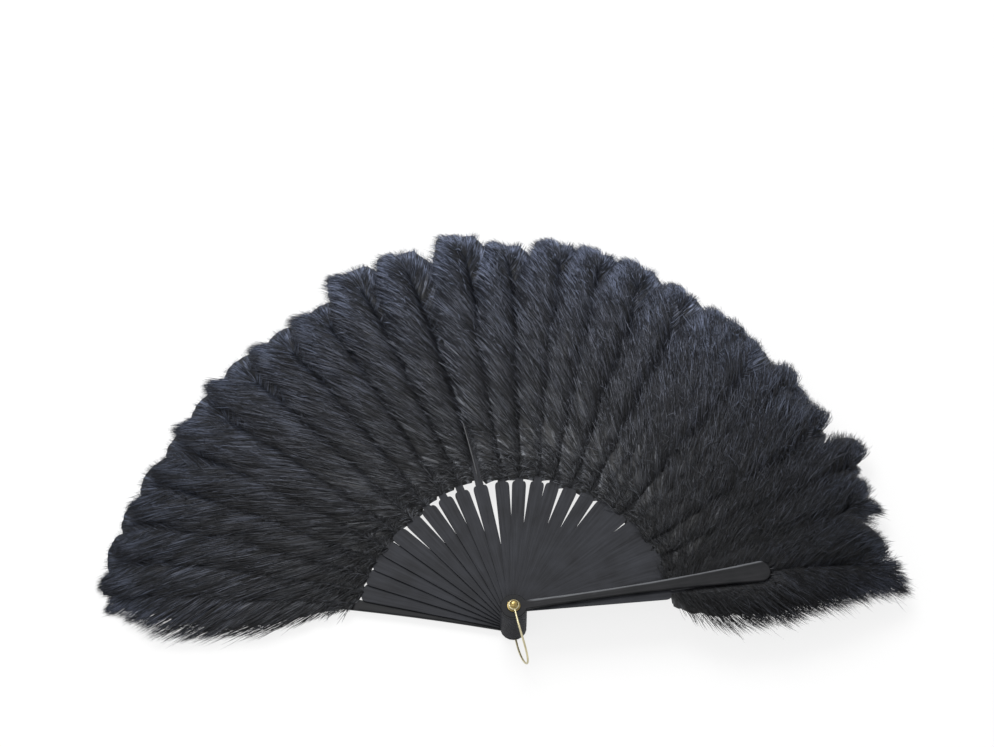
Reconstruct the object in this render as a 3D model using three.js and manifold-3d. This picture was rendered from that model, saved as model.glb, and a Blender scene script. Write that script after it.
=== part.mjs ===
// Folding ostrich-feather fan, lying open on its back.
// Millimetres, +Z up. The rivet's axis is Z and its back face is at the origin.
// The fan opens towards +Y, with the back guard on the left (-X) and the front guard on the right.

import * as THREE from 'three';
import { mergeVertices } from 'three/addons/utils/BufferGeometryUtils.js';
import Module from 'manifold-3d';

const wasm = await Module();
wasm.setup();

// Driving dimensions, in millimetres and degrees

// Between the centre lines of neighbouring leaves, open, from the back guard to the front one.
// The last inner stick stands out a little past the front guard.
const LEAF_STEPS = [
  5.2, 6.4, 6.4, 6.6, 7.0, 7.6, 7.6, 7.3, 6.9, 7.4, 8.4, 6.6, 7.0,
  5.9, 7.1, 7.3, 7.2, 4.1, 4.0, 7.3, 4.3, 4.3, 7.4, 7.1, 7.4, -1.8,
];
const CLEARANCE = 0.3; // between neighbouring pieces

const HEAD_RADIUS = 10.8; // round head of every stick and guard
const NECK_WIDTH = 8; // blade where it leaves the head
const SHOULDER_RADIUS = 128; // rivet axis to the shoulder, where the plumes begin
const SHOULDER_WIDTH_SIDE = 16; // blade just under the shoulder, on the sticks next to the guards
const SHOULDER_WIDTH_MIDDLE = 11.8; // the same in the middle of the fan
const SHOULDER_ROUND = 5; // length of the rounded shoulder
const STICK_THICKNESS = 1.1;
const RIB_THICKNESS = 0.4;
const RIB_BASE_WIDTH = 7;
const RIB_TIP_WIDTH = 3;
const RIB_REACH = 200; // rivet axis to the rib's tip

const GUARD_THICKNESS = 3;
const GUARD_REACH = 211; // rivet axis to the guard's rounded end
const GUARD_WAIST_WIDTH = 3; // pulls the sides in half way along
const GUARD_TIP_WIDTH = 18;
const GUARD_TIP_ROUND = 8; // length of the rounded end
const GUARD_CHAMFER = 0.6;

const PLUME_REACH_BACK = 338; // rivet axis to the plume's tip on the back guard
const PLUME_REACH_FRONT = 312; // the same on the front guard
const PLUME_CROWN = 52; // extra reach at the middle of the fan
const PLUME_HALF_WIDTH = 48; // one vane at its widest
const PLUME_SWEEP = 14; // how far the tip bends anticlockwise
const PLUME_STATIONS = 12; // cross sections along a plume
const LEFT_VANE_LIFT = 6.5; // how far the left vane steps up over the plume to its left
const LEFT_VANE_STEP = [20, 30]; // from the quill to where the step begins and ends
const LIFT_FALL = 0.6; // less lift from plume to plume towards the last stick, which the front guard lies on
const RIGHT_VANE_DROOP = 3; // how far the right vane sinks under the plume to its right
const RIGHT_VANE_BEND = 14; // from the quill to where it starts to sink
const TUFT_RATIO = 0.88; // width between two tufts over width at a tuft
const QUILL_WIDTH = 3;

const RIVET_RADIUS = 1.6;
const RIVET_HEAD_RADIUS = 4.4;
const RIVET_HEAD_THICKNESS = 1.2;
const CAP_RADIUS = 3.6;
const CAP_HEIGHT = 2.4;
const CAP_BORE_DEPTH = 1.2;
const WASHER_RADIUS = 5.4;
const WASHER_THICKNESS = 0.6;

const BAIL_WIRE = 1.4; // wire diameter, and thickness of its two eyes
const BAIL_EYE_RADIUS = 4.6;
const BAIL_REACH = 40; // rivet axis to the far end of the bow
const BAIL_BOW_DEPTH = 24; // the bow is half an ellipse, this long
const BAIL_REST_ANGLE = -78; // direction of the bail from +X, at rest

const ROUND_STEPS = 8; // steps in a half turn of a flat outline
const LATHE_STEPS = 24; // steps in a full turn of a turned piece
const WIRE_STEPS = 40; // steps along the bail's wire

// Shared sizes that follow from the driving dimensions

function sum(values) {
  return values.reduce((total, value) => total + value, 0);
}

const STICK_COUNT = LEAF_STEPS.length - 1; // inner sticks between the two guards
const LEAF_PITCH = STICK_THICKNESS + CLEARANCE;
const SPREAD_ANGLE = sum(LEAF_STEPS);
const BACK_GUARD_ANGLE = 90 + SPREAD_ANGLE / 2;
const PLUME_THICKNESS = STICK_THICKNESS - RIB_THICKNESS - CLEARANCE;
const PLUME_REBATE = PLUME_THICKNESS + CLEARANCE;
const PLUME_BASE = SHOULDER_RADIUS + CLEARANCE;
const BORE_RADIUS = RIVET_RADIUS + CLEARANCE;

// Heights of the stack on the rivet, from the back

const BACK_EYE_Z = RIVET_HEAD_THICKNESS + CLEARANCE;
const BACK_WASHER_Z = BACK_EYE_Z + BAIL_WIRE + CLEARANCE;
const BACK_GUARD_Z = BACK_WASHER_Z + WASHER_THICKNESS + CLEARANCE;
const FIRST_STICK_Z = BACK_GUARD_Z + GUARD_THICKNESS + CLEARANCE;
const FRONT_GUARD_Z = FIRST_STICK_Z + STICK_COUNT * LEAF_PITCH;
const FRONT_WASHER_Z = FRONT_GUARD_Z + GUARD_THICKNESS + CLEARANCE;
const FRONT_EYE_Z = FRONT_WASHER_Z + WASHER_THICKNESS + CLEARANCE;
const CAP_Z = FRONT_EYE_Z + BAIL_WIRE + CLEARANCE;
const PIN_TOP_Z = CAP_Z + CAP_BORE_DEPTH - CLEARANCE;

// Materials

const EBONISED_WOOD = new THREE.MeshStandardMaterial({ color: 0x3c3e43, roughness: 0.55, metalness: 0 });
const BLACK_PLUME = new THREE.MeshStandardMaterial({ color: 0x1d2026, roughness: 0.8, metalness: 0 });
const BRASS = new THREE.MeshStandardMaterial({ color: 0xb8923f, roughness: 0.3, metalness: 1 });
const PALE_BRASS = new THREE.MeshStandardMaterial({ color: 0xbfb27c, roughness: 0.35, metalness: 1 });

// Solids: booleans on closed meshes

function toSolid(geometry) {
  const bare = geometry.clone();
  bare.deleteAttribute('normal');
  bare.deleteAttribute('uv');
  const merged = mergeVertices(bare);
  return new wasm.Manifold(new wasm.Mesh({
    numProp: 3,
    vertProperties: new Float32Array(merged.attributes.position.array),
    triVerts: new Uint32Array(merged.index.array),
  }));
}

function toGeometry(solid) {
  const mesh = solid.getMesh();
  const geometry = new THREE.BufferGeometry();
  geometry.setAttribute('position', new THREE.BufferAttribute(mesh.vertProperties, mesh.numProp));
  geometry.setIndex(new THREE.BufferAttribute(mesh.triVerts, 1));
  geometry.computeVertexNormals();
  return geometry;
}

// A piece turned about Z. The profile is a list of [radius, height].
function turned(profile) {
  const points = profile.map(([radius, height]) => new THREE.Vector2(radius, height));
  return new THREE.LatheGeometry(points, LATHE_STEPS).rotateX(Math.PI / 2);
}

function ring(innerRadius, outerRadius, thickness) {
  return turned([
    [innerRadius, 0], [outerRadius, 0], [outerRadius, thickness], [innerRadius, thickness], [innerRadius, 0],
  ]);
}

// Sticks and guards lie along +Y with the rivet's bore at the origin.

// Closes an outline round the head, from the left neck to the right one, and bores it for the rivet.
function closeRoundHead(shape) {
  const neckAngle = Math.acos(NECK_WIDTH / 2 / HEAD_RADIUS);
  shape.absarc(0, 0, HEAD_RADIUS, Math.PI - neckAngle, 2 * Math.PI + neckAngle, false);
  const bore = new THREE.Path();
  bore.absarc(0, 0, BORE_RADIUS, 0, 2 * Math.PI, true);
  shape.holes.push(bore);
  return shape;
}

function neckHeight() {
  return Math.sqrt(HEAD_RADIUS ** 2 - (NECK_WIDTH / 2) ** 2);
}

function stickOutline(shoulderWidth) {
  const shape = new THREE.Shape();
  const shoulderHalf = shoulderWidth / 2;
  const tipCentre = RIB_REACH - RIB_TIP_WIDTH / 2;
  const roundStart = SHOULDER_RADIUS - SHOULDER_ROUND;
  shape.moveTo(NECK_WIDTH / 2, neckHeight());
  shape.lineTo(shoulderHalf, roundStart);
  shape.quadraticCurveTo(shoulderHalf, SHOULDER_RADIUS, RIB_BASE_WIDTH / 2, SHOULDER_RADIUS);
  shape.lineTo(RIB_TIP_WIDTH / 2, tipCentre);
  shape.absarc(0, tipCentre, RIB_TIP_WIDTH / 2, 0, Math.PI, false);
  shape.lineTo(-RIB_BASE_WIDTH / 2, SHOULDER_RADIUS);
  shape.quadraticCurveTo(-shoulderHalf, SHOULDER_RADIUS, -shoulderHalf, roundStart);
  return closeRoundHead(shape);
}

function guardOutline() {
  const shape = new THREE.Shape();
  const tipHalf = GUARD_TIP_WIDTH / 2;
  const waistHalf = GUARD_WAIST_WIDTH / 2;
  const roundStart = GUARD_REACH - GUARD_TIP_ROUND;
  const waist = (neckHeight() + roundStart) / 2;
  shape.moveTo(NECK_WIDTH / 2, neckHeight());
  shape.quadraticCurveTo(waistHalf, waist, tipHalf, roundStart);
  shape.absellipse(0, roundStart, tipHalf, GUARD_TIP_ROUND, 0, Math.PI, false);
  shape.quadraticCurveTo(-waistHalf, waist, -NECK_WIDTH / 2, neckHeight());
  return closeRoundHead(shape);
}

// A block over everything past the shoulder, between two heights, wide enough for a guard.
function pastShoulder(bottom, top) {
  const length = Math.max(GUARD_REACH, RIB_REACH);
  const block = new THREE.BoxGeometry(2 * Math.max(GUARD_TIP_WIDTH, SHOULDER_WIDTH_SIDE), length, top - bottom);
  return block.translate(0, SHOULDER_RADIUS + length / 2, (bottom + top) / 2);
}

// The blade at full thickness, thinned past the shoulder to the rib that carries a plume.
function stickGeometry(shoulderWidth) {
  const blade = new THREE.ExtrudeGeometry(stickOutline(shoulderWidth), {
    depth: STICK_THICKNESS, bevelEnabled: false, curveSegments: ROUND_STEPS,
  });
  const overRib = pastShoulder(RIB_THICKNESS, 2 * STICK_THICKNESS);
  return toGeometry(toSolid(blade).subtract(toSolid(overRib)));
}

// A chamfered paddle, with a rebate past the shoulder that leaves room for its plume.
function guardGeometry(rebateBottom, rebateTop) {
  const paddle = new THREE.ExtrudeGeometry(guardOutline(), {
    depth: GUARD_THICKNESS - 2 * GUARD_CHAMFER,
    bevelThickness: GUARD_CHAMFER,
    bevelSize: GUARD_CHAMFER,
    bevelOffset: -GUARD_CHAMFER,
    bevelSegments: 1,
    curveSegments: ROUND_STEPS,
  });
  paddle.translate(0, 0, GUARD_CHAMFER);
  return toGeometry(toSolid(paddle).subtract(toSolid(pastShoulder(rebateBottom, rebateTop))));
}

// Plumes lie along +Y: a tufted outline cut out of a folded sheet. The sheet steps up towards the left and sinks
// towards the right, so that the plumes slide over each other as the fan folds.

function vaneHalfWidth(share) {
  return PLUME_HALF_WIDTH * Math.sin(Math.PI * share ** 1.25) ** 0.62;
}

// Cross sections of a plume from base to tip: the middle of each, and half its width.
function plumeStations(reach) {
  const stations = [];
  for (let station = 0; station <= PLUME_STATIONS; station++) {
    const share = station / PLUME_STATIONS;
    const tuft = station % 2 ? 1 : TUFT_RATIO;
    stations.push({
      share,
      middle: -PLUME_SWEEP * share ** 2,
      along: THREE.MathUtils.lerp(PLUME_BASE, reach, share),
      half: Math.max(tuft * vaneHalfWidth(share), QUILL_WIDTH),
    });
  }
  return stations;
}

// Everything over and under a plume's outline, higher than the sheet that is cut.
function plumeColumn(stations) {
  const right = stations.map(({ middle, along, half }) => new THREE.Vector2(middle + half, along));
  const left = stations.map(({ middle, along, half }) => new THREE.Vector2(middle - half, along));
  const depth = 4 * LEFT_VANE_LIFT;
  const outline = new THREE.Shape([...right, ...left.reverse()]);
  return new THREE.ExtrudeGeometry(outline, { depth, bevelEnabled: false }).translate(0, 0, -depth / 2);
}

function foldedSheet(lift, droop, reach) {
  const edge = 2 * PLUME_HALF_WIDTH;
  const [stepStart, stepEnd] = LEFT_VANE_STEP;
  const slope = droop / (PLUME_HALF_WIDTH - RIGHT_VANE_BEND);
  const left = lift > 0 ? [[-edge, lift], [-stepEnd, lift], [-stepStart, 0]] : [[-edge, 0]];
  const right = droop > 0 ? [[RIGHT_VANE_BEND, 0], [edge, slope * (RIGHT_VANE_BEND - edge)]] : [[edge, 0]];
  const lower = [...left, ...right].map(([across, height]) => new THREE.Vector2(across, height));
  const upper = lower.map(({ x, y }) => new THREE.Vector2(x, y + PLUME_THICKNESS)).reverse();
  const sheet = new THREE.ExtrudeGeometry(new THREE.Shape([...lower, ...upper]), {
    depth: 2 * reach, bevelEnabled: false,
  });
  return sheet.rotateX(Math.PI / 2).translate(0, 2 * reach, 0);
}

// The quill past the end of what carries the plume: a tapering keel, above the sheet (side 1) or below it (-1).
function keelGeometry(stations, seatEnd, side) {
  const free = stations.filter(({ along }) => along > seatEnd);
  const face = side > 0 ? PLUME_THICKNESS : 0;
  const inside = PLUME_THICKNESS / 2;
  const positions = free.flatMap(({ share, middle, along }, index) => {
    const isEnd = index === 0 || index === free.length - 1;
    const height = isEnd ? -inside / 2 : PLUME_REBATE * (1 - share);
    const crest = [middle, along, face + side * height];
    const left = [middle - QUILL_WIDTH / 2, along, inside];
    const right = [middle + QUILL_WIDTH / 2, along, inside];
    return side > 0 ? [...crest, ...right, ...left] : [...left, ...right, ...crest];
  });
  const triangles = [0, 2, 1];
  for (let first = 0; first < 3 * (free.length - 1); first += 3) {
    for (let corner = 0; corner < 3; corner++) {
      const a = first + corner;
      const b = first + (corner + 1) % 3;
      triangles.push(a, b, b + 3, a, b + 3, a + 3);
    }
  }
  const last = 3 * (free.length - 1);
  triangles.push(last, last + 1, last + 2);
  const geometry = new THREE.BufferGeometry();
  geometry.setAttribute('position', new THREE.Float32BufferAttribute(positions, 3));
  geometry.setIndex(triangles);
  return geometry;
}

function plumeGeometry({ reach, seatEnd, lift, droop, keelSide }) {
  const stations = plumeStations(reach);
  const vanes = toSolid(plumeColumn(stations)).intersect(toSolid(foldedSheet(lift, droop, reach)));
  return toGeometry(vanes.add(toSolid(keelGeometry(stations, seatEnd, keelSide))));
}

// Rivet, washers and bail

function rivetPinGeometry() {
  return turned([
    [0, 0], [RIVET_HEAD_RADIUS, 0], [RIVET_HEAD_RADIUS, RIVET_HEAD_THICKNESS],
    [RIVET_RADIUS, RIVET_HEAD_THICKNESS], [RIVET_RADIUS, PIN_TOP_Z], [0, PIN_TOP_Z],
  ]);
}

// A domed cap with a blind bore over the end of the pin.
function rivetCapGeometry() {
  const profile = [[0, CAP_BORE_DEPTH], [BORE_RADIUS, CAP_BORE_DEPTH], [BORE_RADIUS, 0]];
  for (let step = 0; step <= ROUND_STEPS; step++) {
    const angle = (Math.PI / 2) * (step / ROUND_STEPS);
    const radius = step < ROUND_STEPS ? CAP_RADIUS * Math.cos(angle) : 0;
    profile.push([radius, CAP_HEIGHT * Math.sin(angle)]);
  }
  return turned(profile);
}

// The bail's centre line, in the XZ plane: out along the front, round the bow and back along the rear.
class BailLine extends THREE.Curve {
  getPoint(t) {
    const start = (BORE_RADIUS + BAIL_EYE_RADIUS) / 2;
    const bowStart = BAIL_REACH - BAIL_BOW_DEPTH;
    const half = (FRONT_EYE_Z - BACK_EYE_Z) / 2;
    const middle = (FRONT_EYE_Z + BACK_EYE_Z + BAIL_WIRE) / 2;
    const leg = bowStart - start;
    const legShare = leg / (2 * leg + Math.PI * half);
    if (t < legShare) return new THREE.Vector3(start + leg * (t / legShare), 0, middle + half);
    if (t > 1 - legShare) return new THREE.Vector3(start + leg * ((1 - t) / legShare), 0, middle - half);
    const angle = Math.PI * (0.5 - (t - legShare) / (1 - 2 * legShare));
    const out = bowStart + BAIL_BOW_DEPTH * Math.cos(angle);
    return new THREE.Vector3(out, 0, middle + half * Math.sin(angle));
  }
}

function bailGeometry() {
  const section = new THREE.Shape().absarc(0, 0, BAIL_WIRE / 2, 0, 2 * Math.PI, false);
  const wire = new THREE.ExtrudeGeometry(section, {
    steps: WIRE_STEPS, extrudePath: new BailLine(), curveSegments: ROUND_STEPS / 2,
  });
  const eye = ring(BORE_RADIUS, BAIL_EYE_RADIUS, BAIL_WIRE);
  const front = toSolid(eye.clone().translate(0, 0, FRONT_EYE_Z));
  const back = toSolid(eye.clone().translate(0, 0, BACK_EYE_Z));
  return toGeometry(toSolid(wire).add(front).add(back));
}

// Assembly

const fan = new THREE.Group();

function addPiece(parent, name, geometry, material, height) {
  const mesh = new THREE.Mesh(geometry, material);
  mesh.name = name;
  mesh.position.z = height;
  parent.add(mesh);
  return mesh;
}

// A leaf is one stick or guard with its plume. It turns as one on the rivet.
function addLeafGroup(index, height) {
  const leaf = new THREE.Group();
  const direction = BACK_GUARD_ANGLE - sum(LEAF_STEPS.slice(0, index));
  leaf.rotation.z = THREE.MathUtils.degToRad(direction - 90);
  leaf.position.z = height;
  fan.add(leaf);
  return leaf;
}

// How near a leaf is to the middle of the fan: 0 at the guards, 1 in the middle.
function middleness(index) {
  return Math.sin(Math.PI * index / (STICK_COUNT + 1)) ** 2;
}

function shoulderWidth(index) {
  return THREE.MathUtils.lerp(SHOULDER_WIDTH_SIDE, SHOULDER_WIDTH_MIDDLE, middleness(index));
}

function plumeReach(index) {
  const ends = THREE.MathUtils.lerp(PLUME_REACH_BACK, PLUME_REACH_FRONT, index / (STICK_COUNT + 1));
  return ends + PLUME_CROWN * middleness(index);
}

function vaneLift(index) {
  return Math.min(LEFT_VANE_LIFT, LIFT_FALL * (STICK_COUNT - index));
}

const backLeaf = addLeafGroup(0, BACK_GUARD_Z);
const backPlume = plumeGeometry({
  reach: plumeReach(0), seatEnd: GUARD_REACH, lift: vaneLift(0), droop: RIGHT_VANE_DROOP, keelSide: -1,
});
const backSeat = GUARD_THICKNESS - PLUME_THICKNESS;
addPiece(backLeaf, 'guard_back', guardGeometry(GUARD_THICKNESS - PLUME_REBATE, 2 * GUARD_THICKNESS), EBONISED_WOOD, 0);
addPiece(backLeaf, 'plume_back', backPlume, BLACK_PLUME, backSeat);

for (let index = 1; index <= STICK_COUNT; index++) {
  const leaf = addLeafGroup(index, FIRST_STICK_Z + (index - 1) * LEAF_PITCH);
  const number = String(index).padStart(2, '0');
  const plume = plumeGeometry({
    reach: plumeReach(index), seatEnd: RIB_REACH, lift: vaneLift(index), droop: RIGHT_VANE_DROOP, keelSide: -1,
  });
  addPiece(leaf, `stick_${number}`, stickGeometry(shoulderWidth(index)), EBONISED_WOOD, 0);
  addPiece(leaf, `plume_${number}`, plume, BLACK_PLUME, STICK_THICKNESS - PLUME_THICKNESS);
}

// The front plume lies under its guard, with its keel up and its right vane flat on the last stick's plume.
const frontLeaf = addLeafGroup(STICK_COUNT + 1, FRONT_GUARD_Z);
const frontPlume = plumeGeometry({
  reach: plumeReach(STICK_COUNT + 1), seatEnd: GUARD_REACH, lift: LEFT_VANE_LIFT, droop: 0, keelSide: 1,
});
addPiece(frontLeaf, 'guard_front', guardGeometry(-GUARD_THICKNESS, PLUME_REBATE), EBONISED_WOOD, 0);
addPiece(frontLeaf, 'plume_front', frontPlume, BLACK_PLUME, 0);

addPiece(fan, 'rivet_pin', rivetPinGeometry(), BRASS, 0);
addPiece(fan, 'rivet_cap', rivetCapGeometry(), BRASS, CAP_Z);
const washer = ring(BORE_RADIUS, WASHER_RADIUS, WASHER_THICKNESS);
addPiece(fan, 'washer_back', washer, BRASS, BACK_WASHER_Z);
addPiece(fan, 'washer_front', washer, BRASS, FRONT_WASHER_Z);
addPiece(fan, 'bail', bailGeometry(), PALE_BRASS, 0).rotation.z = THREE.MathUtils.degToRad(BAIL_REST_ANGLE);

export default fan;
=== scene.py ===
"""Black feather fan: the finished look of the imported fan, for the photograph's view and every other side.

Sizes in the classes are millimetres and degrees. A leaf's own coordinates run outwards along its stick (x),
anticlockwise across it (y) and up (z). Every mesh is turned into metres in the fan's frame when it is made.
"""
import logging
import math
from dataclasses import dataclass
from enum import Enum

import bpy
import numpy as np
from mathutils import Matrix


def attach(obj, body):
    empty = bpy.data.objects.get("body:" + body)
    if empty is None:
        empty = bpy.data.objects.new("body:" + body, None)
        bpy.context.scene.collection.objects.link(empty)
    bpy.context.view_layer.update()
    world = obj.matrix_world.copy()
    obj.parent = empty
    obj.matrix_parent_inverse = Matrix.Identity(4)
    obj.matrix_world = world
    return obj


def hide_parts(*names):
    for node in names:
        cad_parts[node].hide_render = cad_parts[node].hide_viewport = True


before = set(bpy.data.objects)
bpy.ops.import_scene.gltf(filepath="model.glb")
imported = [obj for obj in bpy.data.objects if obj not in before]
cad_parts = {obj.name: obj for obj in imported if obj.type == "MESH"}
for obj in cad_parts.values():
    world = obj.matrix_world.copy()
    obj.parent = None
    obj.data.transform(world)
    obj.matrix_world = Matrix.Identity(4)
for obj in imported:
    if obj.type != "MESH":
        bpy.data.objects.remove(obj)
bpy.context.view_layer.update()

LOG = logging.getLogger("feather_fan")
MM = 0.001
SEED = 1907
TIP_TURN = 0.22
TIP_END = 1.0 + TIP_TURN

Colour = tuple[float, float, float]


class Slot(Enum):
    """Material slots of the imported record."""

    WOOD = "ebonised_wood"
    PLUME = "black_plume"
    BRASS = "brass"
    WIRE = "pale_brass"


class Vane(Enum):
    """The two sides of a quill, with the sign of their sideways direction in a leaf's coordinates."""

    LEFT = 1.0
    RIGHT = -1.0


@dataclass(frozen=True)
class Profile:
    """A value that changes from place to place, with straight lines between the places given."""

    places: tuple[float, ...]
    values: tuple[float, ...]

    def at(self, place: float | np.ndarray) -> float | np.ndarray:
        """The value at a place, or at each of many, with the end values past the ends."""
        return np.interp(place, self.places, self.values)


def progress(place: np.ndarray, start: float, end: float) -> np.ndarray:
    """How far places are on the way from start to end, from 0 to 1."""
    return np.clip((place - start) / (end - start), 0.0, 1.0)


class Recipe:
    """A material's node tree, put together node by node."""

    def __init__(self, name: str) -> None:
        """Starts a material that holds a Principled shader.

        Args:
            name: the material's name.
        """
        self.material = bpy.data.materials.new(name)
        self.material.use_nodes = True
        self.tree = self.material.node_tree
        self.shader = self.tree.nodes["Principled BSDF"]

    def add(self, kind: str, settings: dict | None = None, **inputs: object) -> bpy.types.Node:
        """Adds a node.

        Args:
            kind: the node's type, without the ShaderNode prefix.
            settings: properties of the node itself.
            **inputs: values of its sockets, with _ for a space in the socket's name.

        Returns:
            The new node.
        """
        node = self.tree.nodes.new("ShaderNode" + kind)
        for name, value in (settings or {}).items():
            setattr(node, name, value)
        for name, value in inputs.items():
            node.inputs[name.replace("_", " ")].default_value = value
        return node

    def link(self, source: bpy.types.NodeSocket, target: bpy.types.NodeSocket) -> None:
        """Joins two sockets."""
        self.tree.links.new(source, target)

    def math(self, operation: str, first: object, second: object = 0.0) -> bpy.types.NodeSocket:
        """Adds a Math node.

        Args:
            operation: what it works out.
            first: a socket or a number.
            second: a socket or a number.

        Returns:
            Its result.
        """
        node = self.add("Math", {"operation": operation})
        for index, value in enumerate((first, second)):
            if isinstance(value, bpy.types.NodeSocket):
                self.link(value, node.inputs[index])
            else:
                node.inputs[index].default_value = value
        return node.outputs[0]

    def ramp(self, source: bpy.types.NodeSocket, stops: list[tuple[float, tuple]]) -> bpy.types.NodeSocket:
        """Adds a colour ramp.

        Args:
            source: what drives it, from 0 to 1.
            stops: places and their linear colours.

        Returns:
            The ramp's colour.
        """
        node = self.add("ValToRGB")
        elements = node.color_ramp.elements
        while len(elements) < len(stops):
            elements.new(1.0)
        for element, (place, colour) in zip(elements, stops):
            element.position = place
            element.color = (*colour, 1.0)
        self.link(source, node.inputs["Fac"])
        return node.outputs["Color"]

    def range(self, source: bpy.types.NodeSocket, low: float, high: float) -> bpy.types.NodeSocket:
        """Maps 0 to 1 onto another range.

        Args:
            source: what drives it.
            low: the result at 0.
            high: the result at 1.

        Returns:
            The result.
        """
        node = self.add("MapRange", To_Min=low, To_Max=high)
        self.link(source, node.inputs["Value"])
        return node.outputs["Result"]

    def bump(self, height: bpy.types.NodeSocket, strength: float, distance: float) -> None:
        """Gives the shader a bump from a height.

        Args:
            height: the height, from 0 to 1.
            strength: the bump's share.
            distance: how deep the height goes, in metres.
        """
        node = self.add("Bump", Strength=strength, Distance=distance)
        self.link(height, node.inputs["Height"])
        self.link(node.outputs["Normal"], self.shader.inputs["Normal"])


@dataclass(frozen=True)
class EbonisedWood:
    """Black stained wood with a satin wax: faint grain along the stick, and a paler rub here and there."""

    name: str = "ebonised_wood"
    dark: Colour = (0.012, 0.0125, 0.015)
    pale: Colour = (0.036, 0.038, 0.045)
    tone_places: tuple[float, ...] = (0.35, 0.68)
    roughness: tuple[float, float] = (0.42, 0.6)
    specular: float = 0.1
    grain_scale: tuple[float, float, float] = (26.0, 52.0, 260.0)
    grain_share: float = 0.6
    grain_bump: tuple[float, float] = (0.25, 0.0002)
    rub_scale: float = 55.0

    def material(self) -> bpy.types.Material:
        """Makes the finish, with grain that runs outwards from the rivet.

        Returns:
            The material.
        """
        recipe = Recipe(self.name)
        place = recipe.add("TexCoord")
        parts = recipe.add("SeparateXYZ")
        recipe.link(place.outputs["Object"], parts.inputs[0])
        x, y, z = parts.outputs
        squares = [recipe.math("MULTIPLY", part, part) for part in (x, y)]
        reach = recipe.math("SQRT", recipe.math("ADD", *squares))
        turn = recipe.math("ARCTAN2", y, x)
        polar = recipe.add("CombineXYZ")
        for part, scale, target in zip((reach, turn, z), self.grain_scale, polar.inputs):
            recipe.link(recipe.math("MULTIPLY", part, scale), target)
        grain = recipe.add("TexNoise", Scale=1.0, Detail=6.0, Roughness=0.65)
        recipe.link(polar.outputs[0], grain.inputs["Vector"])
        rub = recipe.add("TexNoise", Scale=self.rub_scale, Detail=3.0)
        recipe.link(place.outputs["Object"], rub.inputs["Vector"])
        both = recipe.math("ADD", recipe.math("MULTIPLY", grain.outputs[0], self.grain_share),
                           recipe.math("MULTIPLY", rub.outputs[0], 1.0 - self.grain_share))
        colour = recipe.ramp(self.tone(recipe, x, y, both), self.stops())
        recipe.link(colour, recipe.shader.inputs["Base Color"])
        recipe.link(recipe.range(rub.outputs[0], *self.roughness), recipe.shader.inputs["Roughness"])
        recipe.shader.inputs["Specular IOR Level"].default_value = self.specular
        recipe.bump(grain.outputs[0], *self.grain_bump)
        return recipe.material

    def stops(self) -> list[tuple[float, Colour]]:
        """Places on the tone and their colours."""
        return list(zip(self.tone_places, (self.dark, self.pale)))

    def tone(self, recipe: Recipe, x: bpy.types.NodeSocket, y: bpy.types.NodeSocket,
             grain: bpy.types.NodeSocket) -> bpy.types.NodeSocket:
        """What drives the colour: here the grain alone, whatever the place."""
        return grain


@dataclass(frozen=True)
class WornGuard(EbonisedWood):
    """A guard's smoother black wood, with a pale painted highlight along the edge that leads as the fan
    opens.
    """

    name: str = "polished_guard"
    dark: Colour = (0.005, 0.006, 0.007)
    pale: Colour = (0.020, 0.020, 0.022)
    # colour of the painted highlight along the front guard's edge
    worn: Colour = (0.125, 0.13, 0.14)
    tone_places: tuple[float, ...] = (0.3, 0.62, 0.95)
    roughness: tuple[float, float] = (0.38, 0.55)
    direction: float = 9.0
    length: float = 203.0
    half_widths: tuple[float, float, float] = (4.0, -5.0, 10.0)
    rub_width: tuple[float, float] = (0.9, 2.3)
    rub_start: tuple[float, float] = (0.05, 0.09)
    rub_tone: float = 0.5

    def stops(self) -> list[tuple[float, Colour]]:
        """Places on the tone and their colours, with the painted highlight's colour at the end."""
        return list(zip(self.tone_places, (self.dark, self.pale, self.worn)))

    def tone(self, recipe: Recipe, x: bpy.types.NodeSocket, y: bpy.types.NodeSocket,
             grain: bpy.types.NodeSocket) -> bpy.types.NodeSocket:
        """Grain, raised to a painted highlight near the front guard's upper edge.

        Args:
            recipe: the material.
            x: the place's first coordinate.
            y: the place's second coordinate.
            grain: the wood's grain.

        Returns:
            The tone, from 0 to about 1.
        """
        turn = math.radians(self.direction)
        along = recipe.math("ADD", recipe.math("MULTIPLY", x, math.cos(turn) / (self.length * MM)),
                            recipe.math("MULTIPLY", y, math.sin(turn) / (self.length * MM)))
        across = recipe.math("SUBTRACT", recipe.math("MULTIPLY", y, math.cos(turn)),
                             recipe.math("MULTIPLY", x, math.sin(turn)))
        start, slope, spread = [value * MM for value in self.half_widths]
        half = recipe.math("ADD", start, recipe.math("MULTIPLY", along, recipe.math(
            "ADD", slope, recipe.math("MULTIPLY", along, spread))))
        inwards = recipe.math("SUBTRACT", half, across)
        # painted highlight: a pale band just inside the edge, beginning past the head
        near = recipe.add("MapRange", From_Min=self.rub_width[0] * MM, From_Max=self.rub_width[1] * MM,
                          To_Min=self.rub_tone, To_Max=0.0)
        recipe.link(inwards, near.inputs["Value"])
        past_head = recipe.add("MapRange", From_Min=self.rub_start[0], From_Max=self.rub_start[1])
        recipe.link(along, past_head.inputs["Value"])
        rubbed = recipe.math("MULTIPLY", near.outputs["Result"], past_head.outputs["Result"])
        return recipe.math("ADD", grain, rubbed)


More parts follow.
